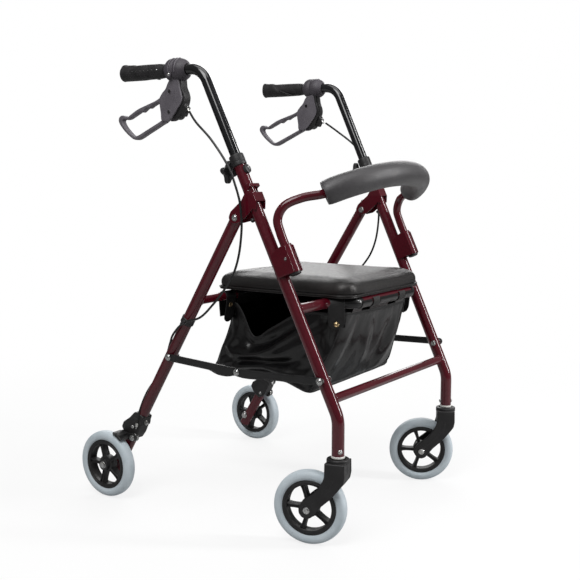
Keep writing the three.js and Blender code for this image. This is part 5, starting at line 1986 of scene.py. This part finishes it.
def bag_part():
    """open shell: wall rows, then floor rings closing to the middle"""
    points = [bag_point(j / WALL_COLUMNS, i / WALL_ROWS)
              for i in range(WALL_ROWS + 1) for j in range(WALL_COLUMNS)]
    base = np.array(points[-WALL_COLUMNS:])
    centre = base.mean(0)
    for i in range(1, FLOOR_RINGS + 1):
        size = 1 - (i / (FLOOR_RINGS + 0.5))
        under = 1.2 if i == 1 else 2.0
        for edge in base:
            x, y, _ = centre + (edge - centre) * vec(size, size, 1)
            sag = (5.5 * (1 - size ** 2)
                   + 0.9 * noise.noise(Vector((x * 0.02, y * 0.02, 9))))
            points.append(vec(x, y, edge[2] * size + centre[2] * (1 - size) - sag - under))
    rows = index_rings(WALL_ROWS + 1 + FLOOR_RINGS, WALL_COLUMNS)
    faces = []
    for low, high in zip(rows[:-1], rows[1:]):
        faces += bridge(low, high, back=True)
    last, middle = rows[-1], len(points)
    points.append(np.mean([points[i] for i in last], axis=0))
    faces += [(last[j], middle, last[(j + 1) % WALL_COLUMNS]) for j in range(WALL_COLUMNS)]
    points = np.array(points)
    points[:, 2] = np.maximum(points[:, 2], 258.0)
    return points, faces


def drape(made):
    """lets the bag sag, held at its rim ends and round the floor"""
    pins = []
    for i, point in enumerate(to_mm(mesh_points(made.data))):
        row = i // WALL_COLUMNS
        held_rim = row <= 1 and (point[1] < -215 or point[1] > 30)
        if held_rim or WALL_ROWS - 1 <= row <= WALL_ROWS + 1:
            pins.append(i)
    simulate(made, pins, cap_mm=3.5, last_frame=18, gravity=0.8, stiffness=25,
             shrink_min=-0.035, mass=0.25, shear_stiffness=12, bending_stiffness=0.35,
             quality=6)
    relax(made, 2)


def bag_welts(wall):
    """cords down the four corners and round the floor"""
    runs = wall_runs(300.0)
    ends = np.cumsum(runs)
    centres = wall.mean(1)
    parts = []
    for i in (1, 3, 5, 7):
        fraction = (ends[i] - runs[i] / 2) / sum(runs)
        column = wall[:, int(WALL_COLUMNS * fraction)]
        outward = unit_rows((column - centres) * vec(1, 1, 0))
        parts.append(sweep(column + outward * 0.5, circle(1.5, 10)))
    floor_edge = wall[-1]
    outward = unit_rows((floor_edge - floor_edge.mean(0)) * vec(1, 1, 0))
    parts.append(loop_sweep(floor_edge + outward * 0.6, circle(1.6, 10)))
    return join(*parts)


def stitch(start, end):
    return tube([start, end], 0.42, 6, 0.15)


def hem_stitches(rim):
    centre, drop = rim.mean(0), vec(0, 0, -8.2)
    parts = []
    for i in range(0, len(rim), 2):
        start, end = rim[i] + drop, rim[(i + 1) % len(rim)] + drop
        run = end - start
        outward = np.cross(unit(run), Z)
        if (start - centre) @ outward < 0:
            outward = -outward
        parts.append(stitch(start + outward * 1.4 + run * 0.12,
                            end + outward * 1.4 - run * 0.12))
    return join(*parts)


def storage_bag():
    made = add("bag_body", bag_part(), "bag_vinyl", None, "bag", sharp_angle=180,
               weighted=False)
    drape(made)
    points = to_mm(mesh_points(made.data))
    wall = points[:WALL_COLUMNS * (WALL_ROWS + 1)].reshape(-1, WALL_COLUMNS, 3)
    subdivide(made)
    thick = made.modifiers.new("thick", "SOLIDIFY")
    thick.thickness, thick.offset = 0.0016, -1.0
    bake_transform(made)
    hem_section = [(a - 3.0, b) for a, b in circle(3.8, 16, 1.4)]
    for name, part, finish in (("bag_hem", loop_sweep(wall[0], hem_section), "bag_trim"),
                               ("bag_welts", bag_welts(wall), "bag_trim"),
                               ("bag_stitches", hem_stitches(wall[0]), "thread")):
        made = add(name, part, finish, weighted=False)
        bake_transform(made)


storage_bag()


# ------------------------------------------------------------------ straps, snaps, flaps and sleeve
def strap(points, axis):
    """flat band with a stitched groove, its last end rounded; axis is the width's direction"""
    half_width, half_thick, count = 35 / 2, 0.9, 60
    path = spline(points, count)
    axis = unit(axis)
    tangents = unit_rows(np.gradient(path, axis=0))
    run = travelled(path)
    rings = []
    for i in range(count):
        half = half_width
        to_end = run[-1] - run[i]
        if to_end < half:
            half *= sqrt(max(0.03, 1 - ((half - to_end) / half) ** 2))
        normal = unit(np.cross(axis, tangents[i]))
        section = four_way([(half, half_thick * 0.4), (half - 0.45, half_thick),
                            (half - 2.6, half_thick), (half - 3.1, half_thick - 0.25)])
        rings.append([path[i] + axis * max(-half, min(half, a)) + normal * b
                      for a, b in section])
    return facing_out(*skin(rings))


def snap(base, axis):
    radius = 5.6
    return lathe([(0, -0.4), (radius, -0.4), (radius + 0.2, 0.3), (radius - 0.4, 1.0),
                  (radius - 1.4, 1.2), (radius - 2.0, 0.8), (1.8, 1.5), (1.0, 1.9), (0, 1.95)],
                 base, unit(axis), 40)


STRAP_ALONG = unit(vec(-0.4, -0.9165, 0.018))  # along the seat tube under the front strap
STRAP_OUT = unit(vec(0.9165, -0.4, 0))


def by_strap(out, z):
    """point beside the seat tube's centre under the front strap"""
    return vec(142.9, -227.9, 473.4) + STRAP_OUT * out + Z * z


FRONT_STRAP = [by_strap(*p) for p in (
    [(-5.5, -52), (-8.5, -34), (-11.6, -14)] + arc((0, 0), 12.25, range(180, -1, -30))
    + [(11.9, -14), (10.2, -30), (8.0, -43), (6.6, -54)])]
CROSS_Y = REAR_CROSS[1]
REAR_STRAP = [vec(150, y, z) for y, z in (
    [(61.5, 424), (63.0, 440), (CROSS_Y + 10.6, 460)]
    + arc((CROSS_Y, REAR_CROSS_Z), 10.6, range(0, 181, 30))
    + [(43.6, 458), (45.2, 445), (48.8, 428), (54.5, 411)])]


def front_flaps():
    """cloth over the seat tube in three lengths, open at the clips, and round its bends"""
    hinge_y, hinge_z = SEAT_HINGE
    outline = ([(hinge_y + 15.2, 450.5), (hinge_y + 9.5, 461.0)]
               + arc(SEAT_HINGE, 12.9, range(-60, -206, -8))
               + arc(SEAT_HINGE, 11.8, range(-204, -59, 8))
               + [(hinge_y + 10.6, 461.8), (hinge_y + 16.4, 450.9)])
    parts = [slab_x(outline, x0, x1, 0.35, 1) for x0, x1 in ((-116, -76), (-40, 40), (76, 116))]
    for side in (1, -1):
        path = [p * vec(side, 1, 1) for p in (vec(136.6, -242.4, 474), SEAT_TUBE_CORNER,
                                              vec(92.5, hinge_y, hinge_z))]
        bend = [p for p in fillet(path, 30, 6) if abs(p[0]) > 109]
        parts.append(tube(bend + [vec(109 * side, hinge_y, hinge_z)], 12.15, 32, 0.5))
    return join(*parts)


def rear_sleeve():
    """cloth sleeve over the rear cross tube"""
    centre = (CROSS_Y, REAR_CROSS_Z)
    outline = ([(CROSS_Y + 4.2, 447)] + arc(centre, 10.9, range(-18, 199, 8))
               + [(CROSS_Y - 4.2, 447), (CROSS_Y - 3.2, 447)]
               + arc(centre, 9.9, range(198, -19, -8)) + [(CROSS_Y + 3.2, 447)])
    return slab_x(outline, -123, 123, 0.35, 1)


def sleeve_stitches():
    """a row of 34 stitches on each face of the sleeve"""
    pitch, length = 7.2, 4.4
    parts = []
    for side in (-1, 1):
        for i in range(34):
            start = vec(-121 + i * pitch, CROSS_Y + side * 5.0, 449.5)
            parts.append(stitch(start, start + X * length))
    return join(*parts)


pair("strap_front", strap(FRONT_STRAP, STRAP_ALONG), "bag_trim", "root")
pair("snap_front", snap(by_strap(9.35, -43), STRAP_OUT + Z * 0.12), "brass", "root")
pair("strap_rear", strap(REAR_STRAP, X), "bag_trim", "rear")
pair("snap_rear", snap(vec(152, 43.8, 450.6), vec(0, -1, -0.1)), "brass", "rear")
add("bag_front_flaps", front_flaps(), "bag_vinyl", "root")
add("bag_sleeve", rear_sleeve(), "bag_trim", "rear")
add("bag_sleeve_stitches", sleeve_stitches(), "thread", "rear")


# ------------------------------------------------------------------ floor, light, camera (metres)
def paper_floor():
    """studio paper: white to the camera with a soft contact shadow, darker to other rays"""
    paper = bpy.data.materials.new("floor_paper")
    paper.use_nodes = True
    tree = paper.node_tree
    tree.nodes.clear()
    place = add_node(tree, "NewGeometry").outputs["Position"]
    grain = add_node(tree, "TexNoise", {"Vector": place, "Scale": 900}).outputs["Fac"]
    bump = add_node(tree, "Bump", {"Strength": 0.04, "Distance": 0.0005, "Height": grain})
    bounce = add_node(tree, "BsdfDiffuse", {0: (0.42, 0.42, 0.42, 1)})
    shaded = add_node(tree, "BsdfDiffuse", {0: (0.9, 0.9, 0.9, 1), "Normal": bump.outputs[0]})
    white = add_node(tree, "Emission", {0: (1, 1, 1, 1), 1: 1.0})
    # the shaded paper fades into plain white with distance from the object
    distance = add_node(tree, "VectorMath", {0: place}, operation="LENGTH").outputs["Value"]
    amount = add_node(tree, "MapRange", {
        "Value": distance, "From Min": 0.55, "From Max": 1.9, "To Min": 0.80, "To Max": 1.0},
        interpolation_type="SMOOTHSTEP")
    fade = add_node(tree, "MixShader", {
        0: amount.outputs[0], 1: shaded.outputs[0], 2: white.outputs[0]})
    to_camera = add_node(tree, "LightPath").outputs["Is Camera Ray"]
    pick = add_node(tree, "MixShader", {0: to_camera, 1: bounce.outputs[0], 2: fade.outputs[0]})
    add_node(tree, "OutputMaterial", {0: pick.outputs[0]})
    return paper


def studio_floor():
    half = 30.0
    mesh = bpy.data.meshes.new("floor")
    mesh.from_pydata([(-half, -half, 0), (half, -half, 0), (half, half, 0), (-half, half, 0)],
                     [], [(0, 1, 2, 3)])
    floor = bpy.data.objects.new("floor", mesh)
    bpy.context.scene.collection.objects.link(floor)
    floor.location.z = -0.0004
    mesh.materials.append(paper_floor())


def studio_world():
    """white to the camera, dim to everything else"""
    world = bpy.data.worlds.new("studio")
    bpy.context.scene.world = world
    world.use_nodes = True
    tree = world.node_tree
    tree.nodes.clear()
    dim, bright = (add_node(tree, "Background", {"Color": (1, 1, 1, 1), "Strength": strength})
                   for strength in (0.15, 1.0))
    to_camera = add_node(tree, "LightPath").outputs["Is Camera Ray"]
    mixed = add_node(tree, "MixShader", {0: to_camera, 1: dim.outputs[0], 2: bright.outputs[0]})
    add_node(tree, "OutputWorld", {0: mixed.outputs[0]})


def toward(azimuth, elevation):
    """direction from the object, in degrees; azimuth turns from the front towards +X"""
    a, e = radians(azimuth), radians(elevation)
    return Vector((sin(a) * cos(e), -cos(a) * cos(e), sin(e)))


def place_facing(name, data, location, backward):
    """links an object that looks against the backward direction"""
    made = bpy.data.objects.new(name, data)
    bpy.context.scene.collection.objects.link(made)
    made.location = location
    made.rotation_mode = "QUATERNION"
    made.rotation_quaternion = (-backward).to_track_quat("-Z", "Y")
    return made


def area_light(name, azimuth, elevation, distance, width, height, power):
    """soft light aimed half a metre above the floor"""
    light = bpy.data.lights.new(name, "AREA")
    light.shape = "RECTANGLE"
    light.size, light.size_y = width, height
    light.energy = power
    backward = toward(azimuth, elevation)
    made = place_facing(name, light, Vector((0, 0, 0.5)) + backward * distance, backward)
    made.visible_camera = False


studio_floor()
studio_world()
area_light("key_right", azimuth=22, elevation=24, distance=2.6, width=0.24, height=2.0, power=44)
area_light("fill_left", azimuth=-78, elevation=46, distance=2.8, width=1.5, height=1.5, power=40)
area_light("top_soft", azimuth=-40, elevation=78, distance=2.6, width=2.2, height=2.2, power=26)
area_light("rim_back", azimuth=122, elevation=25, distance=2.9, width=2.8, height=1.5, power=44)

lens = bpy.data.cameras.new("camera")
lens.lens, lens.sensor_width = 58.38, 36.0
lens.clip_end = 100
bpy.context.scene.camera = place_facing("camera", lens, (-1.7968, -1.25412, 0.7406),
                                        toward(azimuth=-55.87, elevation=7.07))
bpy.context.scene.view_settings.view_transform = "Standard"
